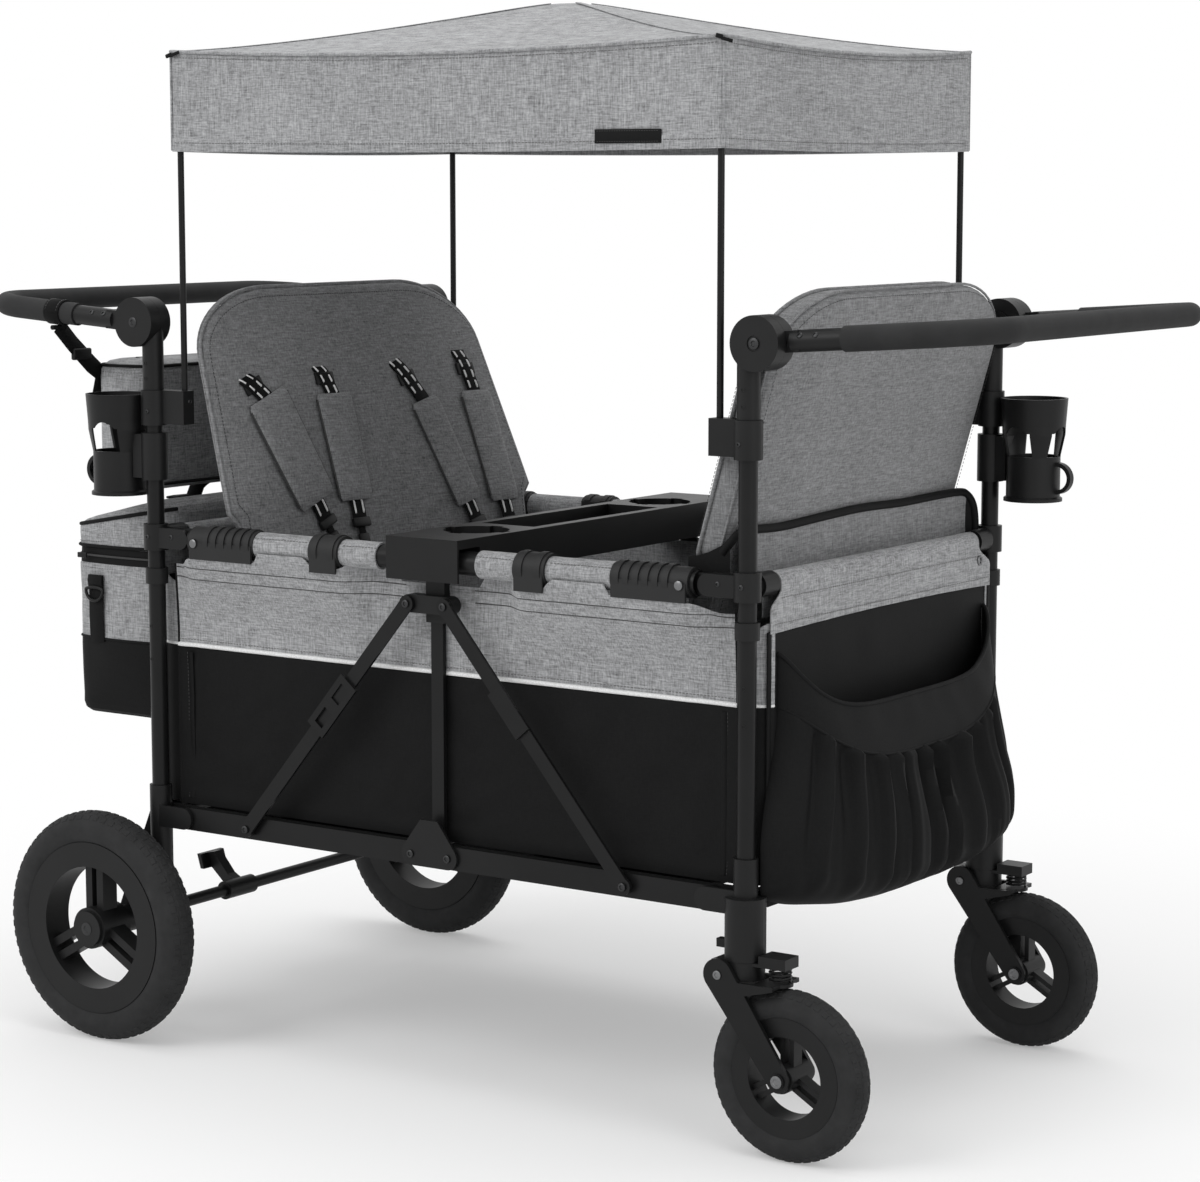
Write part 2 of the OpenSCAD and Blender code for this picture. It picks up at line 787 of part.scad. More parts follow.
module upper_rails() {
  color(steel) both() difference() {
    union() {
      difference() {
        xcyl(rr, mid_x + 16, pivot_x - 16, -post_y, rail_z);
        xcyl(rr - 1.6, 0, pivot_x, -post_y, rail_z);
      }
      plate(-post_y - 4, -post_y + 4) stadium(mid_x, mid_x + 16, rail_z, 12.5);
      plate(-post_y - 4, -post_y + 4) translate([mid_x, rail_z - rr + 1.2]) square([28, rail_d - 2.4]);
      plate(-post_y - 4, -post_y + 4) stadium(pivot_x - 16, pivot_x, rail_z, 12.5);
      plate(-post_y - 4, -post_y + 4) translate([pivot_x - 28, rail_z - rr + 1.2])
        square([12.2, rail_d - 2.4]);
    }
    ycyl(4, -post_y - 6, -post_y + 6, mid_x, rail_z);
    ycyl(4, -post_y - 6, -post_y + 6, pivot_x, rail_z);
    block(mid_x - 20, mid_x + 15.9, -post_y - 6, -post_y + 6, rail_z + 12.5, rail_z + 20);
    block(mid_x - 20, mid_x + 15.9, -post_y - 6, -post_y + 6, rail_z - 20, rail_z - 12.5);
    difference() {
      block(mid_x - 20, mid_x, -post_y - 6, -post_y + 6, rail_z - 20, rail_z + 20);
      ycyl(12.5, -post_y - 7, -post_y + 7, mid_x, rail_z);
    }
  }
}

module front_upper_rails() {
  upper_rails();
}

module rear_upper_rails() {
  rear_end() upper_rails();
}

module rail_tube(r0, r1, x0, x1) {
  difference() {
    xcyl(r1, x0, x1, -post_y, rail_z);
    xcyl(r0, x0 - 1, x1 + 1, -post_y, rail_z);
  }
}

module rail_covers() {
  color(grey) both() rail_tube(rr, rr + 2.5, mid_x + 47, grip_x);
}

module front_rail_covers() {
  rail_covers();
}

module rear_rail_covers() {
  rear_end() rail_covers();
}

module rail_grips() {
  skirt = -post_y - rr - 4.5;
  clip_x = mid_x + 105;
  color(nylon) both() difference() {
    union() {
      rail_tube(rr, rr + 3.5, grip_x, grip_x + 106);
      for (k = [0:5]) rail_tube(rr, rr + 5.5, grip_x + 5 + 13.5 * k, grip_x + 13 + 13.5 * k);
      block(grip_x + 2, grip_x + 104, skirt, skirt + 3.4, rail_z - 22, rail_z);
      ycyl(6, skirt - 1.2, skirt + 3, grip_x + 96, rail_z - 2);
      rail_tube(rr + 2.5, rr + 6, clip_x, clip_x + 45);
      for (x = [5, 31]) rail_tube(rr + 2.5, rr + 7.5, clip_x + x, clip_x + x + 9);
      block(clip_x + 2, clip_x + 43, skirt - 1.5, skirt + 1.5, rail_z - 25, rail_z);
    }
    block(clip_x - 5, grip_x + 120, -post_y + 16, -post_y + 30, rail_z - 30, rail_z + 30);
  }
}

module front_rail_grips() {
  rail_grips();
}

module rear_rail_grips() {
  rear_end() rail_grips();
}

module columns() {
  color(steel) both() plate(-post_y + 8, -post_y + 14) {
    stadium(-mid_x, mid_x, low_z, 13);
    stadium(-mid_x, mid_x, rail_z, 13);
    translate([-9, low_z]) square([18, rail_z - low_z]);
  }
}

module gussets() {
  color(black) both() {
    plate(-post_y - 11.5, -post_y - 7.5) {
      stadium(-mid_x, mid_x, low_z, 14);
      polygon([[-mid_x - 12, low_z + 8], [mid_x + 12, low_z + 8], [13, low_z + 44], [-13, low_z + 44]]);
    }
    for (x = [-mid_x, mid_x]) ycyl(3.95, -post_y - 13, -post_y + 8, x, low_z);
    ycyl(8, -post_y - 7.5, -post_y + 8, 0, low_z);
    plate(-post_y - 10, -post_y - 4.5) stadium(-mid_x, mid_x, rail_z, 13);
    for (x = [-mid_x, mid_x]) ycyl(3.95, -post_y - 10, -post_y + 8, x, rail_z);
    block(-8, 8, -post_y - 10, -post_y + 8, rail_z - 12, tray_z - 11);
  }
}

module sliders() {
  color(black) both() {
    difference() {
      block(-14, 14, -post_y + 5, -post_y + 16.6, strut_z - 24, strut_z + 26);
      block(-9.3, 9.3, -post_y + 7.7, -post_y + 14.3, strut_z - 33, strut_z + 37);
    }
    plate(-post_y - 12, -post_y + 5) stadium(-mid_x, mid_x, strut_z, 11);
    for (x = [-mid_x, mid_x]) ycyl(4, -post_y - 18.5, -post_y - 12, x, strut_z);
  }
}

// a strut from the slider down to the lower rail, drawn for the front
module strut(rear) {
  difference() {
    translate([mid_x, 0, strut_z]) rotate([0, -strut_a, 0]) {
      plate(-post_y - 17, -post_y - 12.5) {
        circle(r = 10);
        translate([0, -strut_l]) circle(r = 10);
        translate([-9, -strut_l]) square([18, strut_l]);
      }
      ycyl(5, -post_y - 19, -post_y - 7.5, 0, -strut_l);
      if (rear) translate([0, 0, -strut_l * 0.44]) difference() {
        block(-15, 15, -post_y - 21, -post_y - 17, -42, 42);
        block(-7, 7, -post_y - 26, -post_y - 6, -33, -8);
        block(-7, 7, -post_y - 22, -post_y - 18.5, 8, 33);
      }
      if (!rear) block(-12, 12, -post_y - 21, -post_y - 17, -strut_l * 0.46, -strut_l * 0.3);
    }
    translate([mid_x, 0, strut_z]) ycyl(4.05, -post_y - 26, -post_y - 6);
  }
}

module front_struts() {
  color(steel) {
    strut(false);
    mirror([0, 1, 0]) strut(false);
  }
}

module rear_struts() {
  color(steel) mirror([1, 0, 0]) {
    strut(true);
    mirror([0, 1, 0]) strut(true);
  }
}

// console tray with end caps over the rail hinges
module tray() {
  mid = post_y - 23;
  cap = post_y + 22;
  color(black) difference() {
    union() {
      block(-tray_x, tray_x, -mid, mid, tray_z - 45, tray_z);
      block(-tray_x, tray_x, -cap, cap, tray_z - 11, tray_z);
      both() block(-tray_x, tray_x, -cap, -cap + 3.5, tray_z - 52, tray_z);
    }
    for (s = [-1, 1]) translate([0, s * (post_y - 89), 0]) {
      zcyl(cup_d / 2, tray_z - 39, tray_z + 15);
      block(-cup_d / 2 - 5, cup_d / 2 + 5, -9, 9, tray_z - 17, tray_z + 15);
      block(-9, 9, -cup_d / 2 - 5, cup_d / 2 + 5, tray_z - 17, tray_z + 15);
    }
    block(14 - tray_x, tray_x - 14, -post_y + 154, post_y - 154, tray_z - 35, tray_z + 15);
  }
}

// tub sides: cloth hung inside the rails, slack at the middle of each half
module tub_side() {
  nx = 20;
  nz = 6;
  slack = function (u, v) 5 * pow(sin(180 * v), 2) * pow(sin(360 * u), 2)
    + 1.2 * sin(180 * v) * (1 - cos(360 * 6 * u)) / 2;
  grid = function (d) [for (j = [0:nz]) [for (i = [0:nx]) let (u = i / nx, v = j / nz)
    [(post_x - 22) * (2 * u - 1), 17 - post_y + d + slack(u, v), low_z + 18 + (rail_z - low_z - 18) * v]]];
  sheet(grid(3.5), grid(0));
}

module tub_sides() {
  color(grey) {
    tub_side();
    rotate([0, 0, 180]) tub_side();
  }
}

// canopy: hem, edge and rings up to a broad peak, as a shell
cx2 = pole_x + 10;
cy2 = pole_y + 10;
module canopy_top() {
  ns = 7;
  per = concat(
    [for (i = [0:ns - 1]) [-1 + 2 * i / ns, -1]], [for (i = [0:ns - 1]) [1, -1 + 2 * i / ns]],
    [for (i = [0:ns - 1]) [1 - 2 * i / ns, 1]], [for (i = [0:ns - 1]) [-1, 1 - 2 * i / ns]]);
  m = len(per);
  sag = function (p) 11 * (1 - pow(min(abs(p[0]), abs(p[1])), 2));
  ring = function (t, d) [for (p = per) [(cx2 - d) * p[0] * t, (cy2 - d) * p[1] * t,
    edge_z - d - sag(p) * pow(t, 3) + roof_rise * pow(1 - t, 1.45)]];
  hem = function (d) [for (p = per) [(cx2 - d) * p[0], (cy2 - d) * p[1], hem_z - 3 * sag(p) / 11]];
  ts = [1, 0.84, 0.66, 0.48, 0.3, 0.12];
  outer = concat([hem(0)], [for (t = ts) ring(t, 0)]);
  inner = concat([hem(3)], [for (t = ts) ring(t, 3)]);
  n = len(outer);
  pts = concat([for (r = outer) each r], [for (r = inner) each r], [[0, 0, peak_z], [0, 0, peak_z - 3]]);
  k = n * m;
  faces = concat(
    [for (j = [0:n - 2]) for (i = [0:m - 1]) each let (a = j * m + i, b = j * m + (i + 1) % m)
      [[a, b + m, b], [a, a + m, b + m]]],
    [for (j = [0:n - 2]) for (i = [0:m - 1]) each let (a = k + j * m + i, b = k + j * m + (i + 1) % m)
      [[a, b, b + m], [a, b + m, a + m]]],
    [for (i = [0:m - 1]) each let (b = (i + 1) % m) [[i, b, k + b], [i, k + b, k + i]]],
    [for (i = [0:m - 1]) let (a = (n - 1) * m + i, b = (n - 1) * m + (i + 1) % m) [a, 2 * k, b]],
    [for (i = [0:m - 1]) let (a = k + (n - 1) * m + i, b = k + (n - 1) * m + (i + 1) % m) [a, b, 2 * k + 1]]);
  color(grey) polyhedron(points = pts, faces = faces, convexity = 8);
  color(grey) for (sx = [-1, 1]) for (sy = [-1, 1])
    translate([sx * (pole_x - 0.5) - 7.5, sy * (pole_y - 0.5) - 7.5, edge_z - 12]) cube([15, 15, 3]);
}

rear_posts();
rear_hubs();
rear_brackets();
rear_lower_mounts();
rear_end_panel();
rear_cup_holder();
organizer_bag();
organizer_loops();
cooler_bag();
rear_seat();
rear_harness();
brake_pedal();
rear_tyre_r();
rear_rim_r();
rear_tyre_l();
rear_rim_l();
rear_handle();
rear_grip();
rear_button();
rear_lower_rails();
rear_floor();
columns();
gussets();
tray();
front_lower_rails();
front_floor();
front_posts();
front_hubs();
front_brackets();
caster_housings();
front_end_panel();
front_cup_holder();
front_basket();
front_seat();
front_handle();
front_grip();
front_button();
caster_head_r();
caster_head_l();
fork_r();
fork_l();
spring_r();
spring_l();
front_tyre_r();
front_tyre_l();
front_rim_r();
front_rim_l();
rear_upper_rails();
rear_rail_covers();
rear_rail_grips();
front_upper_rails();
front_rail_covers();
front_rail_grips();
sliders();
rear_struts();
front_struts();
canopy_top();
rear_poles();
front_poles();
tub_sides();
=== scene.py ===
"""Stroller wagon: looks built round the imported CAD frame. Lengths are millimetres until a mesh is made."""
import json
from collections import namedtuple
from math import copysign, cos, hypot, pi, radians, sin, sqrt, tan, tanh

import bmesh
import bpy
from mathutils import Matrix, Vector, noise
from mathutils.bvhtree import BVHTree


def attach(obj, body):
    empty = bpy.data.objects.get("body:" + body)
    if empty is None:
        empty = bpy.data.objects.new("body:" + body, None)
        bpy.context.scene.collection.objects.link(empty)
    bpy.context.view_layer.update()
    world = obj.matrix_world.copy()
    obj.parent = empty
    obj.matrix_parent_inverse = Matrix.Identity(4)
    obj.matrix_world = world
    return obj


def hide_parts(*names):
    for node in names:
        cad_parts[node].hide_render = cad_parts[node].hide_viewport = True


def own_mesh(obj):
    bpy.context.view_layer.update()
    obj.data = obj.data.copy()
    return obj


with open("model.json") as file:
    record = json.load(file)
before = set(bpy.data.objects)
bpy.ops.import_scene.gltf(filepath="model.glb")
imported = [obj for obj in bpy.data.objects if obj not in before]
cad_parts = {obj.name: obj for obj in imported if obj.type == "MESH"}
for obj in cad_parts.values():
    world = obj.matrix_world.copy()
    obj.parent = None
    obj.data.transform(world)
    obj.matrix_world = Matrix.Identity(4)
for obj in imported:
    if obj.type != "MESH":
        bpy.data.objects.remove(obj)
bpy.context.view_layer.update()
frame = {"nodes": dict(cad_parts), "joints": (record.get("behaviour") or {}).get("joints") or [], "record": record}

# Places taken from the frame
MM = 0.001
JOINTS = {j["name"]: j for j in frame["joints"]}


def joint_at(name):
    return Vector(JOINTS[name]["pos_m"]) / MM


HUB = joint_at("front_handle_tilt")
RAIL_Z = joint_at("rear_upper_fold").z
LOW_Z = joint_at("fold").z
PIVOT_X = joint_at("front_upper_fold").x
POST_X, POST_Y = joint_at("caster_swivel_l").xy

# Small mathematics


def clamp(x, low=0.0, high=1.0):
    return max(low, min(high, x))


def ease(a, b, x):
    """0 below a, 1 above b, smooth between."""
    t = clamp((x - a) / (b - a))
    return t * t * (3 - 2 * t)


def lerp(a, b, t):
    return a + (b - a) * t


def spread(a, b, n):
    return [lerp(a, b, i / (n - 1)) for i in range(n)]


def ripple(x, y, z, size):
    """Smooth noise of that size, from -1 to 1."""
    return noise.noise(Vector((x, y, z)) / size)


# Meshes being gathered

# Faces of a box of eight points, four round its base and four round its top
BOX_FACES = [[4, 5, 6, 7], [0, 1, 5, 4], [1, 2, 6, 5], [2, 3, 7, 6], [3, 0, 4, 7], [3, 2, 1, 0]]


def circle(sides):
    return [2 * pi * i / sides for i in range(sides)]


class Shape:
    """Points and faces in millimetres, with a material number for each face."""

    def __init__(self):
        self.points, self.faces, self.slots = [], [], []

    def add(self, points, faces, slot=0):
        start = len(self.points)
        self.points += [Vector(p) for p in points]
        self.faces += [[start + i for i in f] for f in faces]
        self.slots += [slot] * len(faces)
        return self

    def rings(self, rings, slot=0, closed=False, caps=True):
        """Closed rings of equal length joined in order."""
        n, m = len(rings), len(rings[0])
        faces = []
        for k in range(n if closed else n - 1):
            a, b = k * m, (k + 1) % n * m
            faces += [[a + i, a + (i + 1) % m, b + (i + 1) % m, b + i] for i in range(m)]
        if caps and not closed:
            faces += [list(range(m))[::-1], [(n - 1) * m + i for i in range(m)]]
        return self.add([p for r in rings for p in r], faces, slot)

    def tube(self, path, radius, sides=10, slot=0, closed=False):
        """A round tube along a path."""
        path = [Vector(p) for p in path]
        n = len(path)
        rings, across = [], None
        for k, p in enumerate(path):
            ahead = path[(k + 1) % n] if closed else path[min(k + 1, n - 1)]
            back = path[k - 1] if closed else path[max(k - 1, 0)]
            along = (ahead - back).normalized()
            if across is None:
                across = along.orthogonal().normalized()
            across = (across - along * across.dot(along)).normalized()
            up = along.cross(across)
            rings.append([p + (across * cos(a) + up * sin(a)) * radius for a in circle(sides)])
        return self.rings(rings, slot, closed)

    def strap(self, path, across, width, thick, slot=0):
        """A flat strap along a path, with softly cut edges; across is the direction of its width."""
        path = [Vector(p) for p in path]
        last = len(path) - 1
        w, t = width / 2, thick / 2
        e = min(t, w) * 0.6
        outline = [(-w, -t + e), (-w + e, -t), (w - e, -t), (w, -t + e),
                   (w, t - e), (w - e, t), (-w + e, t), (-w, t - e)]
        rings = []
        for k, p in enumerate(path):
            along = (path[min(k + 1, last)] - path[max(k - 1, 0)]).normalized()
            side = Vector(across)
            side = (side - along * side.dot(along)).normalized()
            up = side.cross(along)
            rings.append([p + side * a + up * b for a, b in outline])
        return self.rings(rings, slot)

    def block(self, centre, size, bevel, turn=Matrix.Identity(3), slot=0):
        """A box with rounded edges."""
        bm = bmesh.new()
        bmesh.ops.create_cube(bm, size=1)
        bmesh.ops.scale(bm, vec=size, verts=bm.verts)
        bmesh.ops.bevel(bm, geom=bm.edges[:], offset=bevel, segments=2, affect="EDGES", profile=0.5)
        points = [turn @ v.co + Vector(centre) for v in bm.verts]
        faces = [[v.index for v in f.verts] for f in bm.faces]
        bm.free()
        return self.add(points, faces, slot)

    def lathe(self, profile, centre, axis, sides, slot=0):
        """A profile of (radius, height) pairs turned about an axis, closed at both ends."""
        axis = Vector(axis).normalized()
        a = axis.orthogonal().normalized()
        b = axis.cross(a)
        rings = [[Vector(centre) + axis * h + (a * cos(t) + b * sin(t)) * max(r, 0.05)
                  for t in circle(sides)] for r, h in profile]
        return self.rings(rings, slot)

    def sheet(self, point, us, vs, thick, slot=0):
        """A cloth sheet through point(u, v), thick millimetres through, with closed edges."""
        grid = [[Vector(point(u, v)) for u in us] for v in vs]
        n, m = len(vs), len(us)
        size = n * m
        points = [p for row in grid for p in row]
        for j in range(n):
            for i in range(m):
                du = grid[j][min(i + 1, m - 1)] - grid[j][max(i - 1, 0)]
                dv = grid[min(j + 1, n - 1)][i] - grid[max(j - 1, 0)][i]
                normal = du.cross(dv)
                normal = normal.normalized() if normal.length > 1e-9 else Vector((0, 0, 1))
                points.append(grid[j][i] + normal * thick)
        faces = []
        for j in range(n - 1):
            for i in range(m - 1):
                a = j * m + i
                faces.append([a, a + m, a + m + 1, a + 1])
                faces.append([size + a, size + a + 1, size + a + m + 1, size + a + m])
        rim = list(range(m)) + [j * m + m - 1 for j in range(1, n)]
        rim += [(n - 1) * m + i for i in range(m - 2, -1, -1)] + [j * m for j in range(n - 2, 0, -1)]
        for a, b in zip(rim, rim[1:] + rim[:1]):
            faces.append([a, b, size + b, size + a])
        return self.add(points, faces, slot)

    def stitches(self, path, normal, length=3.2, gap=1.6, width=0.9, slot=0):
        """A row of thread stitches along a path, standing a little proud along normal."""
        path = [Vector(p) for p in path]
        marks = [0.0]
        for a, b in zip(path, path[1:]):
            marks.append(marks[-1] + (b - a).length)

        def along(s):
            k = max(i for i in range(len(marks) - 1) if marks[i] <= s + 1e-6)
            t = (s - marks[k]) / max(marks[k + 1] - marks[k], 1e-6)
            return path[k].lerp(path[k + 1], clamp(t))

        up = Vector(normal).normalized()
        s = 0.0
        while s + length < marks[-1]:
            a, b = along(s), along(s + length)
            side = (b - a).normalized().cross(up) * width / 2
            top = up * width * 0.6
            base = [a - side, a + side, b + side, b - side]
            crown = [p + top for p in (a.lerp(b, 0.15), a.lerp(b, 0.85))]
            points = base + [crown[0] - side * 0.5, crown[0] + side * 0.5,
                             crown[1] + side * 0.5, crown[1] - side * 0.5]
            self.add(points, BOX_FACES, slot)
            s += length + gap
        return self

    def mirrored(self, axis=1):
        """The same shape on the other side of the wagon (axis 1) or at the other end (axis 0)."""
        other = Shape()
        other.points = [Vector([-c if k == axis else c for k, c in enumerate(p)]) for p in self.points]
        other.faces, other.slots = [f[::-1] for f in self.faces], self.slots[:]
        return other

    def turned(self):
        """The same shape half a turn round, at the other end of the wagon."""
        return self.mirrored(0).mirrored(1)


def linked(name, data):
    """A new object in the scene."""
    obj = bpy.data.objects.new(name, data)
    bpy.context.scene.collection.objects.link(obj)
    return obj


def piece(name, shape, materials, body, sharp=40, replaces=()):
    """Makes the mesh, gives it its materials and lets it ride on a body."""
    mesh = bpy.data.meshes.new(name)
    mesh.from_pydata([p * MM for p in shape.points], [], shape.faces)
    for m in materials if isinstance(materials, list) else [materials]:
        mesh.materials.append(m)
    for face, number in zip(mesh.polygons, shape.slots):
        face.material_index = number
    bm = bmesh.new()
    bm.from_mesh(mesh)
    bmesh.ops.recalc_face_normals(bm, faces=bm.faces[:])
    bm.to_mesh(mesh)
    bm.free()
    mesh.shade_smooth()
    mesh.set_sharp_from_angle(angle=radians(sharp))
    obj = linked(name, mesh)
    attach(obj, body)
    if replaces:
        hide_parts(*replaces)
    return obj


def smooth_path(points, steps):
    """Points along a smooth curve through the given ones."""
    pts = [Vector(p) for p in points]
    out = []
    for i in range(len(pts) - 1):
        a, b, c, d = pts[max(i - 1, 0)], pts[i], pts[i + 1], pts[min(i + 2, len(pts) - 1)]
        for k in range(steps):
            t = k / steps
            curve = (2 * a - 5 * b + 4 * c - d) * t * t + (3 * b - a - 3 * c + d) * t ** 3
            out.append(0.5 * (2 * b + (c - a) * t + curve))
    return out + [pts[-1]]


# Materials


def new_material(name):
    mat = bpy.data.materials.new(name)
    mat.use_nodes = True
    return mat, mat.node_tree


def feed(tree, socket, value):
    """Sets a socket, or links it where the value is a socket itself."""
    if isinstance(value, bpy.types.NodeSocket):
        tree.links.new(value, socket)
    else:
        socket.default_value = value


def add_node(tree, kind, **values):
    """A node with its inputs fed by name or number."""
    made = tree.nodes.new(kind)
    for key, value in values.items():
        feed(tree, made.inputs[int(key) if key.isdigit() else key.replace("_", " ")], value)
    return made


def maths(tree, operation, a, b):
    made = add_node(tree, "ShaderNodeMath", **{"0": a, "1": b})
    made.operation = operation
    return made.outputs[0]


def added(tree, base, value, share):
    """base + value * share."""
    return maths(tree, "ADD", base, maths(tree, "MULTIPLY", value, share))


def grain(tree, scale, detail, rough, stretch=(1, 1, 1)):
    """Noise over the object's own metres, stretched along its axes."""
    coords = add_node(tree, "ShaderNodeTexCoord").outputs["Object"]
    mapped = add_node(tree, "ShaderNodeMapping", Vector=coords, Scale=stretch).outputs[0]
    tex = add_node(tree, "ShaderNodeTexNoise", Vector=mapped, Scale=scale, Detail=detail, Roughness=rough)
    return tex.outputs["Fac"]


def grey(level, tint=0.02):
    """A linear grey, a touch cool."""
    return (level * (1 - tint / 2), level, level * (1 + tint), 1)


def ramp(tree, value, stops):
    """A colour ramp of (place, colour) stops."""
    made = add_node(tree, "ShaderNodeValToRGB", Fac=value)
    elements = made.color_ramp.elements
    while len(elements) < len(stops):
        elements.new(0.5)
    for element, (place, colour) in zip(elements, stops):
        element.position, element.color = place, colour
    return made.outputs["Color"]


def shaded(tree, value, level, dark, pale, low=0.3, high=0.7):
    """A grey that runs from dark to pale times its level."""
    return ramp(tree, value, [(low, grey(level * dark)), (high, grey(level * pale))])


def bump_from(tree, height, strength, distance):
    return add_node(tree, "ShaderNodeBump", Height=height, Strength=strength, Distance=distance).outputs[0]


def principled(tree, **values):
    for key, value in values.items():
        feed(tree, tree.nodes["Principled BSDF"].inputs[key.replace("_", " ")], value)


def heather(name, dark, light):
    """A melange weave: pale and dark yarns crossing, with soft slubs and a faint broad shade."""
    mat, tree = new_material(name)
    weft = grain(tree, 1, 3, 0.6, (55, 55, 620))
    warp = grain(tree, 1, 3, 0.6, (620, 620, 55))
    yarn = added(tree, maths(tree, "MULTIPLY", weft, 0.42), warp, 0.38)
    mixed = added(tree, yarn, grain(tree, 330, 2, 0.5), 0.2)
    broad = maths(tree, "SUBTRACT", grain(tree, 7, 2, 0.5), 0.5)
    colour = ramp(tree, added(tree, mixed, broad, 0.08),
                  [(0.34, grey(dark)), (0.5, grey((dark + light) / 2)), (0.66, grey(light))])
    principled(tree, Base_Color=colour, Roughness=0.92, Normal=bump_from(tree, mixed, 0.5, 0.0007),
               Sheen_Weight=0.15, Sheen_Roughness=0.5, Specular_IOR_Level=0.2)
    return mat


def woven_black(name, level, rough, spec):
    """Black coated cloth: a fine rib both ways and soft patches of wear."""
    mat, tree = new_material(name)
    rib = grain(tree, 1, 2, 0.5, (900, 900, 120))
    cross_rib = grain(tree, 1, 2, 0.5, (120, 120, 900))
    patch = grain(tree, 14, 3, 0.6)
    weave = added(tree, maths(tree, "MULTIPLY", rib, 0.5), cross_rib, 0.5)
    tone = added(tree, maths(tree, "MULTIPLY", weave, 0.6), patch, 0.4)
    principled(tree, Base_Color=shaded(tree, tone, level, 0.65, 1.5), Roughness=added(tree, rough - 0.1, patch, 0.2),
               Normal=bump_from(tree, weave, 0.35, 0.0005), Specular_IOR_Level=spec)
    return mat


def moulded(name, level, rough, pit, bump, spec):
    """Moulded plastic or coated metal: a spark-eroded grain, with slightly paler rubbed patches."""
    mat, tree = new_material(name)
    patch = grain(tree, 11, 4, 0.6)
    principled(tree, Base_Color=shaded(tree, patch, level, 0.85, 1.25, high=0.75),
               Roughness=added(tree, rough - 0.08, patch, 0.16), Specular_IOR_Level=spec,
               Normal=bump_from(tree, grain(tree, pit, 2, 0.5), bump, 0.0003))
    return mat


def foam(name, level):
    """Closed-cell foam with open pores in its skin."""
    mat, tree = new_material(name)
    coords = add_node(tree, "ShaderNodeTexCoord").outputs["Object"]
    cells = add_node(tree, "ShaderNodeTexVoronoi", Vector=coords, Scale=700.0).outputs["Distance"]
    principled(tree, Base_Color=shaded(tree, grain(tree, 20, 3, 0.6), level, 0.8, 1.3), Roughness=0.8,
               Normal=bump_from(tree, cells, 0.3, 0.0005), Specular_IOR_Level=0.3)
    return mat


def tyre_rubber(name, level):
    """Dull dark grey tyre rubber with a dusty tread."""
    mat, tree = new_material(name)
    dust = grain(tree, 35, 4, 0.65)
    principled(tree, Base_Color=shaded(tree, dust, level, 0.75, 1.35, 0.25, 0.75), Roughness=0.78,
               Normal=bump_from(tree, grain(tree, 800, 2, 0.5), 0.25, 0.0004), Specular_IOR_Level=0.2)
    return mat


def bright_metal(name, level, rough):
    """Screw heads and snaps: brushed steel with fine scratches."""
    mat, tree = new_material(name)
    scratch = grain(tree, 1, 3, 0.6, (900, 60, 900))
    principled(tree, Base_Color=shaded(tree, scratch, level, 0.85, 1.1), Metallic=1.0,
               Roughness=added(tree, rough - 0.1, scratch, 0.25))
    return mat


def thread(name, level):
    """Sewing thread and piping: tightly twisted, slightly glossy."""
    mat, tree = new_material(name)
    twist = grain(tree, 1, 2, 0.5, (500, 500, 500))
    colour = ramp(tree, twist, [(0.3, grey(level * 0.85, 0)), (0.7, grey(level * 1.1, 0))])
    principled(tree, Base_Color=colour, Roughness=0.7, Normal=bump_from(tree, twist, 0.4, 0.0005))
    return mat


HEATHER = heather("heather_cloth", 0.11, 0.46)
SEAT = heather("seat_cloth", 0.08, 0.30)
NYLON = woven_black("black_nylon", 0.006, 0.65, 0.10)
WEBBING = woven_black("black_webbing", 0.005, 0.7, 0.08)
PLASTIC = moulded("black_plastic", 0.008, 0.42, 900.0, 0.18, 0.2)
TUBE = moulded("frame_tube", 0.007, 0.34, 1500.0, 0.08, 0.18)
RIM = moulded("rim_plastic", 0.009, 0.45, 900.0, 0.18, 0.2)
FOAM = foam("grip_foam", 0.016)
RUBBER = moulded("grip_rubber", 0.012, 0.6, 500.0, 0.25, 0.3)
TYRE = tyre_rubber("tyre_rubber", 0.021)
SCREW = bright_metal("dark_screw", 0.05, 0.4)
SNAP = bright_metal("snap_metal", 0.18, 0.35)
WHITE = thread("white_thread", 0.75)
DARK_THREAD = thread("dark_thread", 0.03)
GREY_THREAD = thread("grey_thread", 0.12)

# CAD nodes keep their shapes and take the finer materials
FINISH = {"frame_tube": TUBE, "black_plastic": PLASTIC, "tyre_rubber": TYRE, "foam": FOAM, "heather_cloth": HEATHER,
          "seat_cloth": SEAT, "black_nylon": NYLON}
NODE_FINISH = {"rear_rail_grips": RUBBER, "front_rail_grips": RUBBER, "rear_rim_r": RIM, "rear_rim_l": RIM,
               "front_rim_r": RIM, "front_rim_l": RIM}
for part in frame["record"]["subparts"]:
    node = frame["nodes"][part["node"]]
    node.data.materials.clear()
    node.data.materials.append(NODE_FINISH.get(part["node"], FINISH[part["material_slot"]]))

# Camera, at the photograph's view
CAMERA_AT = (2.2854, -3.2786, 1.1126)
CAMERA_PITCH, CAMERA_TURN = 7.4973, 34.362
FOCAL_PX, PHOTO_WIDTH = 3136.4, 1200

camera = linked("camera", bpy.data.cameras.new("camera"))
camera.location = CAMERA_AT
camera.rotation_euler = (radians(90 - CAMERA_PITCH), 0, radians(CAMERA_TURN))
camera.data.sensor_width = 36
camera.data.lens = camera.data.sensor_width * FOCAL_PX / PHOTO_WIDTH
camera.data.clip_end = 100
bpy.context.scene.camera = camera

# Plain pale floor and soft studio light
FLOOR_GREY, FLOOR_HALF = 0.93, 30
# The floor fades to the white background between these distances from the middle, from this share of white
FADE, NEAR_WHITE = (0.5, 1.8), 0.27
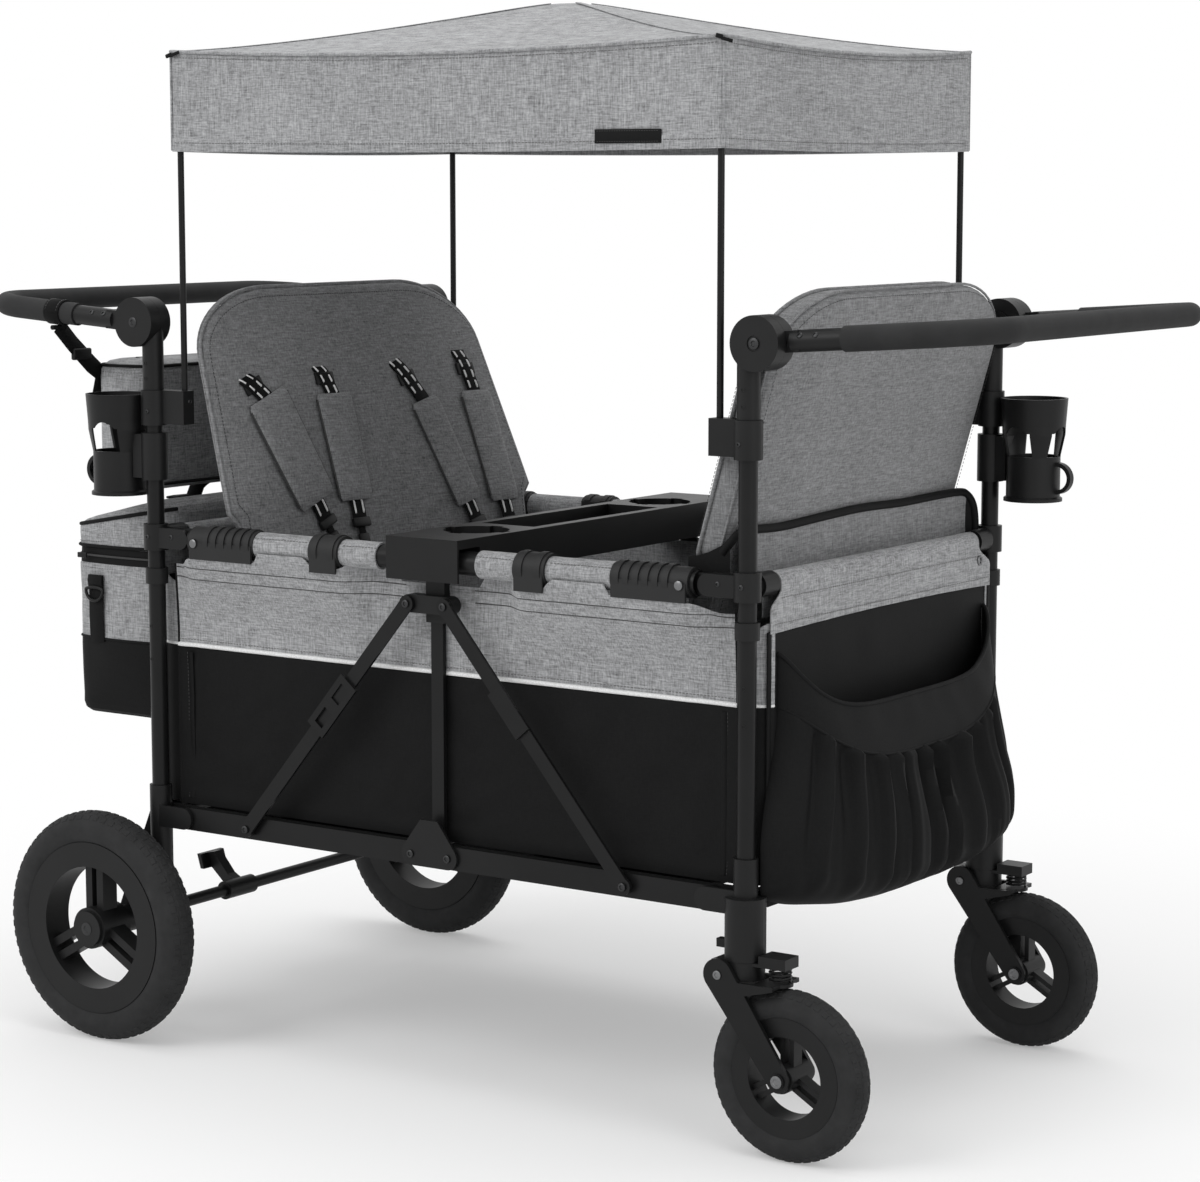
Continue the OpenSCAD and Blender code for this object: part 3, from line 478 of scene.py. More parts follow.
# Name, place, size and power of each lamp, and the point that all of them face
LAMPS = [("key", (-1.5, -3.6, 3.4), 2.6, 78), ("fill", (3.8, -1.2, 2.2), 2.6, 36),
         ("top", (0, 0.4, 4.2), 3.4, 62)]
LIT_POINT = Vector((0, 0, 0.6))
SKY_LIGHT = 0.6


def seen_directly(tree):
    """1 where the background itself shows, in the open, in metal or through glass; 0 where it only lights."""
    path = add_node(tree, "ShaderNodeLightPath").outputs
    seen = maths(tree, "MAXIMUM", path["Is Camera Ray"], path["Is Glossy Ray"])
    return maths(tree, "MAXIMUM", seen, path["Is Transmission Ray"])


def make_floor():
    mesh = bpy.data.meshes.new("floor")
    corners = [(x * FLOOR_HALF, y * FLOOR_HALF, 0) for x, y in ((-1, -1), (1, -1), (1, 1), (-1, 1))]
    mesh.from_pydata(corners, [], [[0, 1, 2, 3]])
    floor = linked("floor", mesh)
    mat, tree = new_material("floor")
    principled(tree, Base_Color=grey(FLOOR_GREY, 0), Roughness=0.9, Specular_IOR_Level=0.1)
    place = add_node(tree, "ShaderNodeNewGeometry").outputs["Position"]
    away = add_node(tree, "ShaderNodeVectorMath", **{"0": place})
    away.operation = "LENGTH"
    fade = add_node(tree, "ShaderNodeMapRange", Value=away.outputs["Value"], From_Min=FADE[0], From_Max=FADE[1],
                    To_Min=NEAR_WHITE)
    fade.interpolation_type = "SMOOTHSTEP"
    white = maths(tree, "MULTIPLY", fade.outputs[0], seen_directly(tree))
    glow = add_node(tree, "ShaderNodeEmission", Color=(1, 1, 1, 1), Strength=1.0).outputs[0]
    shader = tree.nodes["Principled BSDF"].outputs[0]
    mixed = add_node(tree, "ShaderNodeMixShader", **{"0": white, "1": shader, "2": glow}).outputs[0]
    tree.links.new(mixed, tree.nodes["Material Output"].inputs["Surface"])
    mesh.materials.append(mat)


def make_light():
    for name, place, size, watts in LAMPS:
        data = bpy.data.lights.new(name, "AREA")
        data.size, data.energy = size, watts
        lamp = linked(name, data)
        lamp.location = place
        lamp.rotation_euler = (LIT_POINT - Vector(place)).to_track_quat("-Z", "Y").to_euler()
    world = bpy.data.worlds.new("studio")
    world.use_nodes = True
    bpy.context.scene.world = world
    tree = world.node_tree
    back = tree.nodes["Background"]
    strength = added(tree, SKY_LIGHT, seen_directly(tree), 1 - SKY_LIGHT)
    back.inputs["Color"].default_value = (1, 1, 1, 1)
    tree.links.new(strength, back.inputs["Strength"])
    bpy.context.scene.view_settings.view_transform = "Standard"


def crumple(obj):
    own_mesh(obj)
    return obj


def smoothed(mesh, rounds, factor=0.5):
    bm = bmesh.new()
    bm.from_mesh(mesh)
    for _ in range(rounds):
        bmesh.ops.smooth_vert(bm, verts=bm.verts[:], factor=factor, use_axis_x=True, use_axis_y=True, use_axis_z=True)
    bm.to_mesh(mesh)
    bm.free()


def blown(obj, cap, seam):
    """Swells a closed pad by cloth pressure, no point further than cap; points where seam is true stay."""
    rest = [v.co.copy() for v in obj.data.vertices]
    group = obj.vertex_groups.new(name="seam")
    group.add([v.index for v in obj.data.vertices if seam(v.co / MM)], 1.0, "REPLACE")
    mod = obj.modifiers.new("cloth", "CLOTH")
    mod.settings.use_pressure = True
    mod.settings.uniform_pressure_force = 4
    mod.settings.effector_weights.gravity = 0
    mod.settings.vertex_group_mass = "seam"
    mod.settings.quality = 4
    mod.point_cache.frame_end = 20
    scene = bpy.context.scene
    for step in range(1, 21):
        scene.frame_set(step)
    posed = obj.evaluated_get(bpy.context.evaluated_depsgraph_get()).to_mesh()
    moved = [v.co.copy() for v in posed.vertices]
    obj.modifiers.clear()
    obj.vertex_groups.clear()
    scene.frame_set(1)
    for v, a, b in zip(obj.data.vertices, rest, moved):
        step = b - a
        reach = step.length / (cap * MM)
        v.co = a + step * (tanh(reach) / reach if reach > 1e-6 else 1.0)


def pad(name, shape, material, body, voxel, cap, seam, replaces=()):
    """A filled pad: remeshed, swollen by cloth simulation and given one subdivision."""
    raw = piece(name + "_raw", shape, material, body)
    mod = raw.modifiers.new("remesh", "REMESH")
    mod.mode, mod.voxel_size = "VOXEL", voxel * MM
    mesh = bpy.data.meshes.new_from_object(raw.evaluated_get(bpy.context.evaluated_depsgraph_get()))
    bpy.data.objects.remove(raw)
    mesh.name = name
    mesh.materials.clear()
    mesh.materials.append(material)
    smoothed(mesh, 3)
    obj = linked(name, mesh)
    blown(obj, cap, seam)
    smoothed(mesh, 1)
    mesh.shade_smooth()
    obj.modifiers.new("finer", "SUBSURF").levels = 1
    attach(obj, body)
    if replaces:
        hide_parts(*replaces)
    return obj


# Canopy: one sheet from the hem over the edge to the peak and back underneath
CANOPY_X, CANOPY_Y = 412, 294
HEM_Z, EDGE_Z, PEAK_Z = 1146, 1270, 1331
SAG, CORNER_R, PEAK_ROUND = 11, 9, 0.07
CANOPY_CLOTH = 2.4
TAG_X, TAG_Z, TAG_SIZE = 283.5, 1160, (91, 1.4, 16)


def canopy_outline(n=26):
    """Points round the canopy's edge, rounded at the corners."""
    points = []
    for k in range(4):
        a, b = ((CANOPY_X, CANOPY_Y), (CANOPY_Y, CANOPY_X))[k % 2]
        turn = Matrix.Rotation(pi / 2 * k, 2)
        side = [(s * (a - CORNER_R), -b) for s in spread(-1, 1, n)]
        bow = [(a - CORNER_R + CORNER_R * sin(t), -b + CORNER_R - CORNER_R * cos(t))
               for t in (0.4, 0.8, 1.2)]
        points += [turn @ Vector(p) for p in side + bow]
    return points


def canopy_sag(p):
    along = min(abs(p.x) / CANOPY_X, abs(p.y) / CANOPY_Y)
    return SAG * (1 - along ** 2)


def roof_z(p, t):
    """Height of the roof over the point that lies t of the way from the peak to the edge point p."""
    round_t = clamp((hypot(t, PEAK_ROUND) - PEAK_ROUND) / (hypot(1, PEAK_ROUND) - PEAK_ROUND))
    return EDGE_Z - canopy_sag(p) * t ** 3 + (PEAK_Z - EDGE_Z) * (1 - round_t) ** 1.42


def make_canopy():
    edge = canopy_outline()

    def wall(z, out):
        ring = []
        for p in edge:
            drop = canopy_sag(p) * lerp(0.27, 1, (z - HEM_Z) / (EDGE_Z - HEM_Z))
            wave = 1.6 * ripple(p.x, p.y, z, 150) * (1 - canopy_sag(p) / SAG * 0.2)
            out_dir = Vector((p.x / CANOPY_X ** 2, p.y / CANOPY_Y ** 2)).normalized()
            flat = p + out_dir * (out + wave * (1 - ease(EDGE_Z - 30, EDGE_Z - 4, z)) * 0.8 - 1)
            ring.append(Vector((flat.x, flat.y, z - drop)))
        return ring

    def roof(t, down):
        ring = []
        for p in edge:
            slack = 0.8 * (1 + ripple(p.x * t, p.y * t, 0, 90)) * (1 - t)
            ring.append(Vector((p.x * t, p.y * t, roof_z(p, t) - down - slack)))
        return ring

    zs = spread(HEM_Z + 20, EDGE_Z - 2, 9)
    ts = [0.992, 0.97, 0.94] + spread(0.9, 0.06, 16) + [0.03, 0.004]
    outer = [wall(HEM_Z, 1.0), wall(HEM_Z + 15, 1.2), wall(HEM_Z + 17, 0)] + [wall(z, 0) for z in zs]
    outer += [roof(t, 0.0) for t in ts]
    inner = [roof(t, CANOPY_CLOTH) for t in ts[::-1] if t < 0.98]
    inner += [wall(z, -CANOPY_CLOTH) for z in zs[::-1] + [HEM_Z + 1]]
    sheet = piece("canopy_cloth", Shape().rings(outer + inner, closed=True), HEATHER, "canopy", 50,
                  ["canopy_top"])
    trim = Shape()
    trim.tube([(p.x, p.y, roof_z(p, 1) + 0.2) for p in edge], 2.3, 8, 0, closed=True)
    for sx in (-1, 1):
        for sy in (-1, 1):
            corner = Vector((sx * (CANOPY_X - 2.6), sy * (CANOPY_Y - 2.6)))
            trim.tube([(corner.x, corner.y, z) for z in spread(HEM_Z + 1, EDGE_Z - 2, 6)], 1.5, 8, 0)
            tip = Vector((sx * CANOPY_X, sy * CANOPY_Y))
            seam = [(tip.x * t, tip.y * t, roof_z(tip, t) + 0.1) for t in spread(0.985, 0.05, 24)]
            trim.strap(seam, (-sy * CANOPY_Y, sx * CANOPY_X, 0), 7, 1.2, 0)
    for z, out in ((HEM_Z + 11, 1.3), (EDGE_Z - 7, 0.2)):
        ring = wall(z, out)
        n = len(ring) // 4
        for k in range(4):
            side = ring[k * n:(k + 1) * n - 3]
            normal = Matrix.Rotation(pi / 2 * k, 3, "Z") @ Vector((0, -1, 0))
            trim.stitches(side, normal, slot=1)
    tag_y = -CANOPY_Y - 0.9
    trim.block((TAG_X, tag_y, TAG_Z), TAG_SIZE, 0.5, slot=2)
    for z in (TAG_Z - 6, TAG_Z + 6):
        row = [(TAG_X + x, tag_y - 0.7, z) for x in (-42.5, 42.5)]
        trim.stitches(row, (0, -1, 0), 2.2, 1.2, 0.7, 3)
    for x, z, turn in ((CANOPY_X - 6, EDGE_Z - 1, 0.25), (3 - CANOPY_X, EDGE_Z - 5, -0.3)):
        place, spin = Vector((x, -CANOPY_Y - 1.6, z)), Matrix.Rotation(turn, 3, "Y")
        trim.block(place, (9, 3.2, 5), 1.0, spin, 2)
        trim.block(place + spin @ Vector((11, -0.4, -1.5)), (15, 1.6, 4), 0.6, spin, 2)
    trimming = piece("canopy_trim", trim, [HEATHER, GREY_THREAD, NYLON, DARK_THREAD], "canopy", 50)
    crumple(sheet)
    crumple(trimming)


# Tub sides: grey cloth above the white piping, black nylon below
SIDE_Y, SIDE_END = 277, 424
SEAM_Z, TUB_FLOOR = 517, 309
SEAM_GAP, CORNER_TOP, ZIP_X = 1.5, 612, 405
TUB_CLOTH = 1.6
RAIL_R = 14.5
# Along a side: where a saddle clip begins and ends, the grip begins, and the cloth leaves the middle hinge
CLIP, GRIP_X, HINGE_X = (125, 186), 262, 58


def side_top(x):
    """Height of the side cloth's top edge: up on the rail sleeve, lower at clips, grips, hinge and ends."""
    a = abs(x)
    top = 648 - 11 * (ease(CLIP[0], CLIP[0] + 8, a) - ease(CLIP[1] - 8, CLIP[1], a))
    top -= 14 * ease(GRIP_X, GRIP_X + 8, a)
    top -= 23 * (1 - ease(HINGE_X, HINGE_X + 16, a))
    return top - 12 * ease(376, 410, a)


def side_out(x, z):
    """How far the side cloth stands from the middle: hung inside the columns, led out over the rails."""
    a = abs(x)
    out = 34 * ease(532, 650, z) * ease(98, 142, a) * (1 - 0.85 * ease(372, 420, a))
    fold = 1.5 * ripple(x, z * 0.6, 3, 55) + 0.8 * ripple(x, z, 9, 22)
    free = ease(0, 30, z - TUB_FLOOR) * ease(0, 25, side_top(x) - z) * ease(0, 30, SIDE_END - a)
    slack = 3.2 * sin(pi * clamp((z - TUB_FLOOR) / (SEAM_Z - TUB_FLOOR))) if z < SEAM_Z else 0
    return SIDE_Y + out - free * (1.6 + fold * (1.5 if z < SEAM_Z else 0.7) + slack)


def corner_path(n):
    """The cloth's way round a corner behind the post, as (x, y) from the side to the end panel."""
    points = []
    for t in spread(0, 1, n):
        a = t * pi / 2
        points.append(Vector((SIDE_END + 4 + 31 * sin(a) ** 0.9, -SIDE_Y + 3 + 17 * (1 - cos(a)))))
    return points


def on_side(x, z, out=0.0):
    """A point of the right side's cloth, a little way out from its inner face."""
    return Vector((x, -side_out(x, z) - out, z))


def make_tub():
    xs = spread(-SIDE_END, SIDE_END, 131)
    upper, lower, trim = Shape(), Shape(), Shape()
    over, under = SEAM_Z + SEAM_GAP, SEAM_Z - SEAM_GAP
    upper.sheet(lambda x, v: on_side(x, lerp(over, side_top(x), v)), xs, spread(0, 1, 22), TUB_CLOTH)
    lower.sheet(lambda x, v: on_side(x, lerp(TUB_FLOOR, under, v)), xs, spread(0, 1, 34), TUB_CLOTH)
    trim.tube([on_side(x, SEAM_Z, TUB_CLOTH) for x in xs], 2.9, 8, 0)
    for z in (606, 621):
        row = [on_side(x, min(z, side_top(x) - 4), TUB_CLOTH) for x in xs if abs(x) > 52]
        for s in (-1, 1):
            trim.tube([p for p in row if s * p.x > 0], 0.7, 6, 3)
    trim.stitches([on_side(x, SEAM_Z + 7, TUB_CLOTH) for x in xs], (0, -1, -0.1), slot=1)
    bend = corner_path(12)
    for s in (-1, 1):
        flip = Matrix.Diagonal((s, 1, 1))
        edge = [flip @ on_side(SIDE_END, z, TUB_CLOTH / 2) for z in spread(TUB_FLOOR, side_top(SIDE_END), 14)]
        trim.strap(edge, (1, 0, 0), 4, TUB_CLOTH + 1.6, 2)
        zip_line = [flip @ on_side(ZIP_X, z, TUB_CLOTH + 0.4) for z in spread(TUB_FLOOR + 8, SEAM_Z - 9, 20)]
        trim.strap(zip_line, (1, 0, 0), 7, 1.2, 2)
        trim.stitches([p + Vector((s * 5.5, 0, 0)) for p in zip_line], (0, -1, 0), slot=3)
        for z0, z1, dip, shape in ((over, CORNER_TOP, 14, upper), (TUB_FLOOR, under, 0, lower)):
            def corner(i, v):
                return s * bend[i].x, bend[i].y, lerp(z0, z1 - dip * ease(0, 8, 8 - i), v)
            shape.sheet(corner, list(range(12)), spread(0, 1, 12), TUB_CLOTH * s)
        trim.tube([(s * p.x, p.y - 0.4, SEAM_Z) for p in bend], 2.2, 8, 0)
    materials = [WHITE, GREY_THREAD, NYLON, DARK_THREAD]
    for name in ("right", "left"):
        shapes = [shape.turned() if name == "left" else shape for shape in (upper, lower, trim)]
        grey_side = piece("tub_upper_" + name, shapes[0], HEATHER, "rear_frame", 60)
        black_side = piece("tub_lower_" + name, shapes[1], NYLON, "rear_frame", 60)
        sewn = piece("tub_trim_" + name, shapes[2], materials, "rear_frame", 60)
        for obj in (grey_side, black_side, sewn):
            crumple(obj)
        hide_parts("tub_sides")


# Rail sleeves: the tub's cloth drawn round the upper rails
SLEEVE = (75.5, 269.5)


def on_rail(x, r, a):
    """A point round the front right upper rail."""
    return x, -POST_Y + r * cos(a), RAIL_Z + r * sin(a)


def make_sleeves():
    seams = Shape()
    start, stop = SLEEVE
    xs = spread(start, stop, 60)
    turns = circle(28)
    rings = []
    for x in xs:
        clipped = ease(126, 134, x) - ease(177, 185, x)
        loose = ease(0, 6, x - start) * ease(0, 6, stop - x) * (1 - 0.8 * clipped)
        rings.append([on_rail(x, RAIL_R + 2.4 + loose * 0.5 * ripple(x, 20 * cos(a), 20 * sin(a), 14), a)
                      for a in turns])
    inner = [[on_rail(x, RAIL_R + 0.2, a) for a in turns] for x in (stop, start)]
    sleeves = Shape().rings(rings + inner, closed=True)
    line = [on_rail(x, RAIL_R + 2.9, pi / 2 + 0.9) for x in xs]
    for row in ([p for p in line if p[0] < 131], [p for p in line if p[0] > 181]):
        seams.stitches(row, (0, -0.78, 0.62))
    for end in ("front", "rear"):
        for side in ("right", "left"):
            a, b = [shape.mirrored(0) if end == "rear" else shape for shape in (sleeves, seams)]
            if side == "left":
                a, b = a.mirrored(1), b.mirrored(1)
            name, body = end + "_sleeve_" + side, end + "_upper"
            obj = piece(name, a, HEATHER, body, 60, [end + "_rail_covers"])
            row = piece(name + "_stitches", b, GREY_THREAD, body)


# End panels: a grey band over the cross tube, and black nylon below it
BAND_R, BAND_LOW = 13.0, 604
PANEL_X = POST_X + 14
PANEL_LOW, PANEL_TOP, PANEL_HALF = 284, 603, 267
BAND_HALF = 241


def band_half(z):
    return lerp(PANEL_HALF, BAND_HALF, ease(628, 650, z))


def band_x(z):
    return POST_X + BAND_R + 2.4 * (1 - ease(625, RAIL_Z, z))


def make_ends():
    band, panel, trim = Shape(), Shape(), Shape()
    path = [(POST_X - BAND_R, z) for z in spread(614, RAIL_Z, 7)]
    path += [(POST_X - BAND_R * cos(a), RAIL_Z + BAND_R * sin(a)) for a in spread(0, pi, 13)[1:-1]]
    path += [(band_x(z), z) for z in spread(RAIL_Z, BAND_LOW, 12)]
    outside = len(path) - 12

    def on_band(u, i):
        x, z = path[i]
        half = band_half(z) if i >= outside else BAND_HALF
        y = u * half
        wave = 0.8 * ripple(y, z, 1, 40) * ease(0, 20, RAIL_Z - z) if i >= outside else 0
        return Vector((x + wave, y, z - (4 * (u * u) if i == len(path) - 1 else 0)))

    band.sheet(on_band, spread(-1, 1, 61), list(range(len(path))), 1.6)
    for z in (611, 640):
        half = band_half(z) - 6
        row = [(band_x(z) + 1.7 + 0.8 * ripple(y, z, 1, 40), y, z) for y in spread(-half, half, 40)]
        trim.stitches(row, (1, 0, 0))
    eyelet = [(POST_X + BAND_R + 3.2, 238 + 5 * cos(a), 634 + 5 * sin(a)) for a in circle(16)]
    trim.tube(eyelet, 1.5, 8, 1, closed=True)

    def on_panel(y, v):
        z = lerp(PANEL_LOW, PANEL_TOP, v)
        free = ease(0, 30, 268 - abs(y)) * ease(0, 30, z - PANEL_LOW) * ease(0, 20, 606 - z)
        return Vector((POST_X + 11.6 + 1.4 * (1 + ripple(y, z, 5, 70)) * free, y, z))

    panel.sheet(on_panel, spread(-PANEL_HALF, PANEL_HALF, 70), spread(0, 1, 40), 1.4)
    for y in (-PANEL_HALF, PANEL_HALF):
        edge = [(POST_X + 12.6, y, z) for z in spread(PANEL_LOW + 1, PANEL_TOP - 1, 20)]
        trim.strap(edge, (0, 1, 0), 8, 2.6, 2)
    for end in ("front", "rear"):
        body = end + "_frame"
        shapes = [s.turned() if end == "rear" else s for s in (band, panel, trim)]
        top = piece(end + "_band", shapes[0], HEATHER, body, 60)
        low = piece(end + "_panel", shapes[1], NYLON, body, 60, [end + "_end_panel"])
        sewn = piece(end + "_end_trim", shapes[2], [GREY_THREAD, SNAP, NYLON], body, 60)


# Front basket: a smooth yoke round its mouth and a gathered skirt below.
# s runs across it from -1 to 1, and v down each part from 0 to 1
BASKET_Y, BASKET_BELLY_Y = 250, 284
MOUTH_Z, YOKE_Z, BASKET_LOW = 501, 440, 264
MOUTH_OUT, YOKE_OUT, BELLY_OUT = 40, 58, 80
BELLY_END = 0.76


def basket_depth(s):
    return max(0.0, 1 - abs(s) ** 4) ** 0.6


def yoke_seam(s):
    return YOKE_Z + 74 * abs(s) ** 3.2


def on_yoke(s, v):
    y, z = BASKET_Y * s, lerp(MOUTH_Z + 74 * abs(s) ** 5, yoke_seam(s), v)
    out = lerp(MOUTH_OUT, YOKE_OUT, v) + 1.5 * ripple(y, z, 2, 45)
    return Vector((PANEL_X + out * basket_depth(s), y, z))


def on_skirt(s, v):
    z = lerp(yoke_seam(s), BASKET_LOW + 34 * abs(s) ** 3, v)
    y = s * lerp(BASKET_Y, BASKET_BELLY_Y, ease(0, 0.75, v))
    if v < BELLY_END:
        out = lerp(YOKE_OUT, BELLY_OUT, ease(0, 0.65, v))
    else:
        out = BELLY_OUT * sqrt(max(0, 1 - ((v - BELLY_END) / (1 - BELLY_END)) ** 2))
    depth = basket_depth(s)
    wander = 0.55 * ripple(s * 300, z * 0.25, 4, 90)
    pleat = cos(2 * pi * (6.2 * s + wander))
    pleat += 0.5 * cos(2 * pi * (11.3 * s + 1.7 * wander + 0.3))
    fade = ease(0, 0.04, v) * (1 - ease(0.8, 1, v))
    size = (8.0 * (1 - v) ** 0.7 + 2.2) * fade
    soft = 3.0 * ripple(y, z, 6, 60) * fade
    return Vector((PANEL_X + out * depth + (size * pleat + soft) * depth, y, z + 2 * size / 10 * pleat))


def make_basket():
    ss = [sin(pi / 2 * t) for t in spread(-1, 1, 181)]
    yoke, skirt, trim = Shape(), Shape(), Shape()
    yoke.sheet(on_yoke, ss, spread(0, 1, 10), -1.5)
    skirt.sheet(on_skirt, ss, spread(0, 1, 44), -1.5)
    trim.tube([on_yoke(s, 0) + Vector((0.3, 0, 0.5)) for s in ss], 3.0, 8, 0)
    trim.tube([on_yoke(s, 1) + Vector((1.2, 0, -0.5)) for s in ss], 1.8, 8, 0)
    for v in (0.16, 0.9):
        trim.stitches([on_yoke(s, v) + Vector((0.2, 0, 0)) for s in ss[6:-6]], (1, 0, 0.1), slot=1)
    top = piece("basket_yoke", yoke, NYLON, "front_frame", 70)
    gathered = piece("basket_skirt", skirt, NYLON, "front_frame", 70, ["front_basket"])
    sewn = piece("basket_trim", trim, [NYLON, DARK_THREAD], "front_frame", 60)


# Seats. right and left are the face at those edges, and nose is the bench's front. A face or back is its distance
# from the middle at MARK_Z, its lean above the rails and its lean below them
Seat = namedtuple("Seat", "sign half top right left back thick nose")
SEATS = {"rear": Seat(-1, 275, 972, (374, 12.6, 12.6), (340, 24, 6.4), (384, 12.6, 12.6), 24, 60),
         "front": Seat(1, 273, 985, (410, 16, 16), (410, 16, 16), (458, 16, 16), 47, 110)}
MARK_Z, SHELF_Z, TUB_HALF, SEAT_LOW, CENTRE_Z = 874, 690, 262, 476, 745
CORNER_Y, CORNER_Z = 140, 84
BENCH_LOW, BENCH_TOP, BENCH_R = 306.6, 463, 24


def plane_at(plane, z):
    x, high, low = plane
    h = max(z, SHELF_Z)
    return x + (h - MARK_Z) * tan(radians(high)) + (z - h) * tan(radians(low))


def seat_point(end, y, z, part):
    """A point of a seat back; part runs from 0 at its face to 1 at its back."""
    seat = SEATS[end]
    face = lerp(plane_at(seat.right, z), plane_at(seat.left, z), clamp((y + seat.half) / (2 * seat.half)))
    rear = min(face + seat.thick, plane_at(seat.back, z))
    return Vector((seat.sign * lerp(face, rear, part), y, z))


def seat_outline(end, inset, n=14):
    """The back's outline as (y, z), from its lower right corner round over the top."""
    half, top, low = SEATS[end].half - inset, SEATS[end].top - inset, SEAT_LOW + inset
    ry, rz, q, tub = CORNER_Y - inset, CORNER_Z - inset, max(24 - inset, 4), TUB_HALF - inset
    points = [(-tub + q - q * sin(a), low + q - q * cos(a)) for a in spread(0, pi / 2, 6)]
    points += [(-tub, z) for z in spread(low + q, SHELF_Z - 16 + inset, 10)[1:]]
    points += [(-half, z) for z in spread(SHELF_Z + inset, top - rz, 10)]
    points += [(-half + ry - ry * cos(a), top - rz + rz * sin(a)) for a in spread(0, pi / 2, n)[1:]]
    points += [(y, top) for y in spread(-half + ry, 0, 8)[1:]]
    return points + [(-y, z) for y, z in points[-2::-1]]


def rim_distance(end, y, z):
    """How far a point of the back lies inside its outline, about."""
    half, top = SEATS[end].half, SEATS[end].top
    a, c, b = abs(y), half - CORNER_Y, top - CORNER_Z
    if a > c and z > b:
        return (1 - hypot((a - c) / CORNER_Y, (z - b) / CORNER_Z)) * CORNER_Z
    return min((half if z > SHELF_Z else TUB_HALF) - a, top - z, z - SEAT_LOW)


def make_seat(end):
    sign, nose = SEATS[end].sign, SEATS[end].nose
    group, body = end + "_seat", end + "_frame"
    steps = [(0, 13), (0.05, 6), (0.14, 1.5), (0.28, 0)]
    steps += [(1 - t, i) for t, i in steps[::-1]]
    rings = [[seat_point(end, y, z, t) for y, z in seat_outline(end, i)] for t, i in steps]
    inner = [[(y * k, CENTRE_Z + (z - CENTRE_Z) * k) for y, z in seat_outline(end, 13)]
             for k in spread(0.02, 0.95, 12)]
    face, rear = [[[seat_point(end, y, z, t) for y, z in loop] for loop in inner] for t in (0, 1)]
    shape = Shape().rings(face + rings + rear[::-1])

    def seam(co):
        return rim_distance(end, co.y, co.z) < 6

    obj = pad(group + "_back", shape, SEAT, body, 5, 7, seam, [group])
    rows = []
    ends = [(-261, 15), (-257, 6), (-249, 1)]
    for y, inset in ends + [(y, 0) for y in spread(-240, 240, 13)] + [(-y, i) for y, i in ends[::-1]]:
        low, high, r = BENCH_LOW + inset * 0.3, BENCH_TOP - inset, BENCH_R
        a, b = nose + 3 + inset, abs(seat_point(end, y, high, 0).x) - 4
        curve = [(a + r * (1 - cos(t)), high - r * (1 - sin(t))) for t in spread(0, pi / 2, 7)]
        loop = [(a, low), (a, lerp(low, high - r, 0.5))] + curve
        loop += [(lerp(a + r, b, 0.5), high), (b, high), (b, low)]
        rows.append([Vector((sign * x, y, z)) for x, z in loop])

    def flat(co):
        return co.z < BENCH_LOW + 5.4 or co.z < BENCH_TOP - 8 and sign * co.x > nose + 90

    base = pad(group + "_bench", Shape().rings(rows), SEAT, body, 8, 6, flat)
    trim = Shape()
    front, behind = (0.2, 0.82) if end == "front" else (0.4, 0.8)
    for part, inset, r in ((front, -0.4, 2.5), (behind, -0.3, 1.6)):
        trim.tube([seat_point(end, y, z, part) for y, z in seat_outline(end, inset)], r, 8, 1)
    for part, inset, way in ((-0.04, 12, -sign), (1.0, 9, sign)):
        row = [seat_point(end, y, z, part) for y, z in seat_outline(end, inset)]
        trim.stitches(row, (way, 0, 0.3), slot=2)
    sewn = piece(group + "_trim", trim, [NYLON, SEAT, DARK_THREAD], body, 60)
    for o in (obj, sewn):
        crumple(o)
    crumple(base)


def make_seats():
    for end in SEATS:
        make_seat(end)


# The pocket's bound edge, from its near end to its far end
POCKET_EDGE = [(402, -277, 690), (413, -276, 704), (420, -266, 714), (422, -240, 715), (422, -180, 713),
               (423, -100, 716), (424, 0, 719), (424, 100, 717), (424, 180, 718), (425, 248, 718),
               (428, 266, 713), (432, 274, 700), (434, 276, 680), (434, 276, 660)]


def make_pocket():
    """Pocket behind the front seat: a cloth front with a thick bound edge, and gussets at its ends."""
    edge = smooth_path(POCKET_EDGE, 4)
    trim = Shape().tube(edge, 5.2, 12)
    held = [p for p in edge if abs(p.y) < 264]
    last = len(held) - 1

    def on_cloth(u, v):
        p = held[round(u * last)]
        belly = sin(pi * v) * (2 * ripple(p.y, v * 60, 3, 90) - 2)
        return Vector((428.5, p.y, 634)).lerp(p, v) + Vector((belly, 0, 0))

    cloth = Shape().sheet(on_cloth, spread(0, 1, last + 1), spread(0, 1, 9), 1.6)
    front = piece("front_pocket", cloth, SEAT, "front_frame", 60)
    near = [(357, 684), (372, 686), (386, 691), (400, 698), (412, 706)]
    far = [p for p in edge if p.y > 252 and p.z < 717]

    def on_near(u, v):
        x, z = near[round(u * 4)]
        return x, -277.5, lerp(662, z, v)

    def on_far(u, v):
        p = far[round(u * (len(far) - 1))]
        return lerp(426, p.x, v), lerp(264, p.y, v), lerp(max(p.z - 26, 640), p.z, v)

    gusset = Shape().sheet(on_near, spread(0, 1, 5), spread(0, 1, 5), 1.4)
    gusset.sheet(on_far, spread(0, 1, len(far)), spread(0, 1, 4), 1.4)
    sides = piece("front_pocket_gussets", gusset, NYLON, "front_frame", 60)
    bound = piece("front_pocket_binding", trim, NYLON, "front_frame", 60)
    for o in (front, sides, bound):
        crumple(o)


# Harness on the rear seat: slots, webbing, pads and buckles.
# Each row has its slot, pad top and pad bottom as (y, z), and the pad's half width
HARNESS = [((-216, 859), (-185, 832), (-134, 694), 36), ((-75, 867), (-62, 829), (-66, 691), 31),
           ((74, 868), (108, 812), (140, 674), 26), ((211, 874), (215, 818), (210, 671), 28)]
SPARE_SLOTS = [(-222, 808), (-208, 759), (81, 818), (80, 767), (-75, 812), (-75, 760), (211, 818), (211, 765)]
STRAP_W, STRAP_T = 25, 2


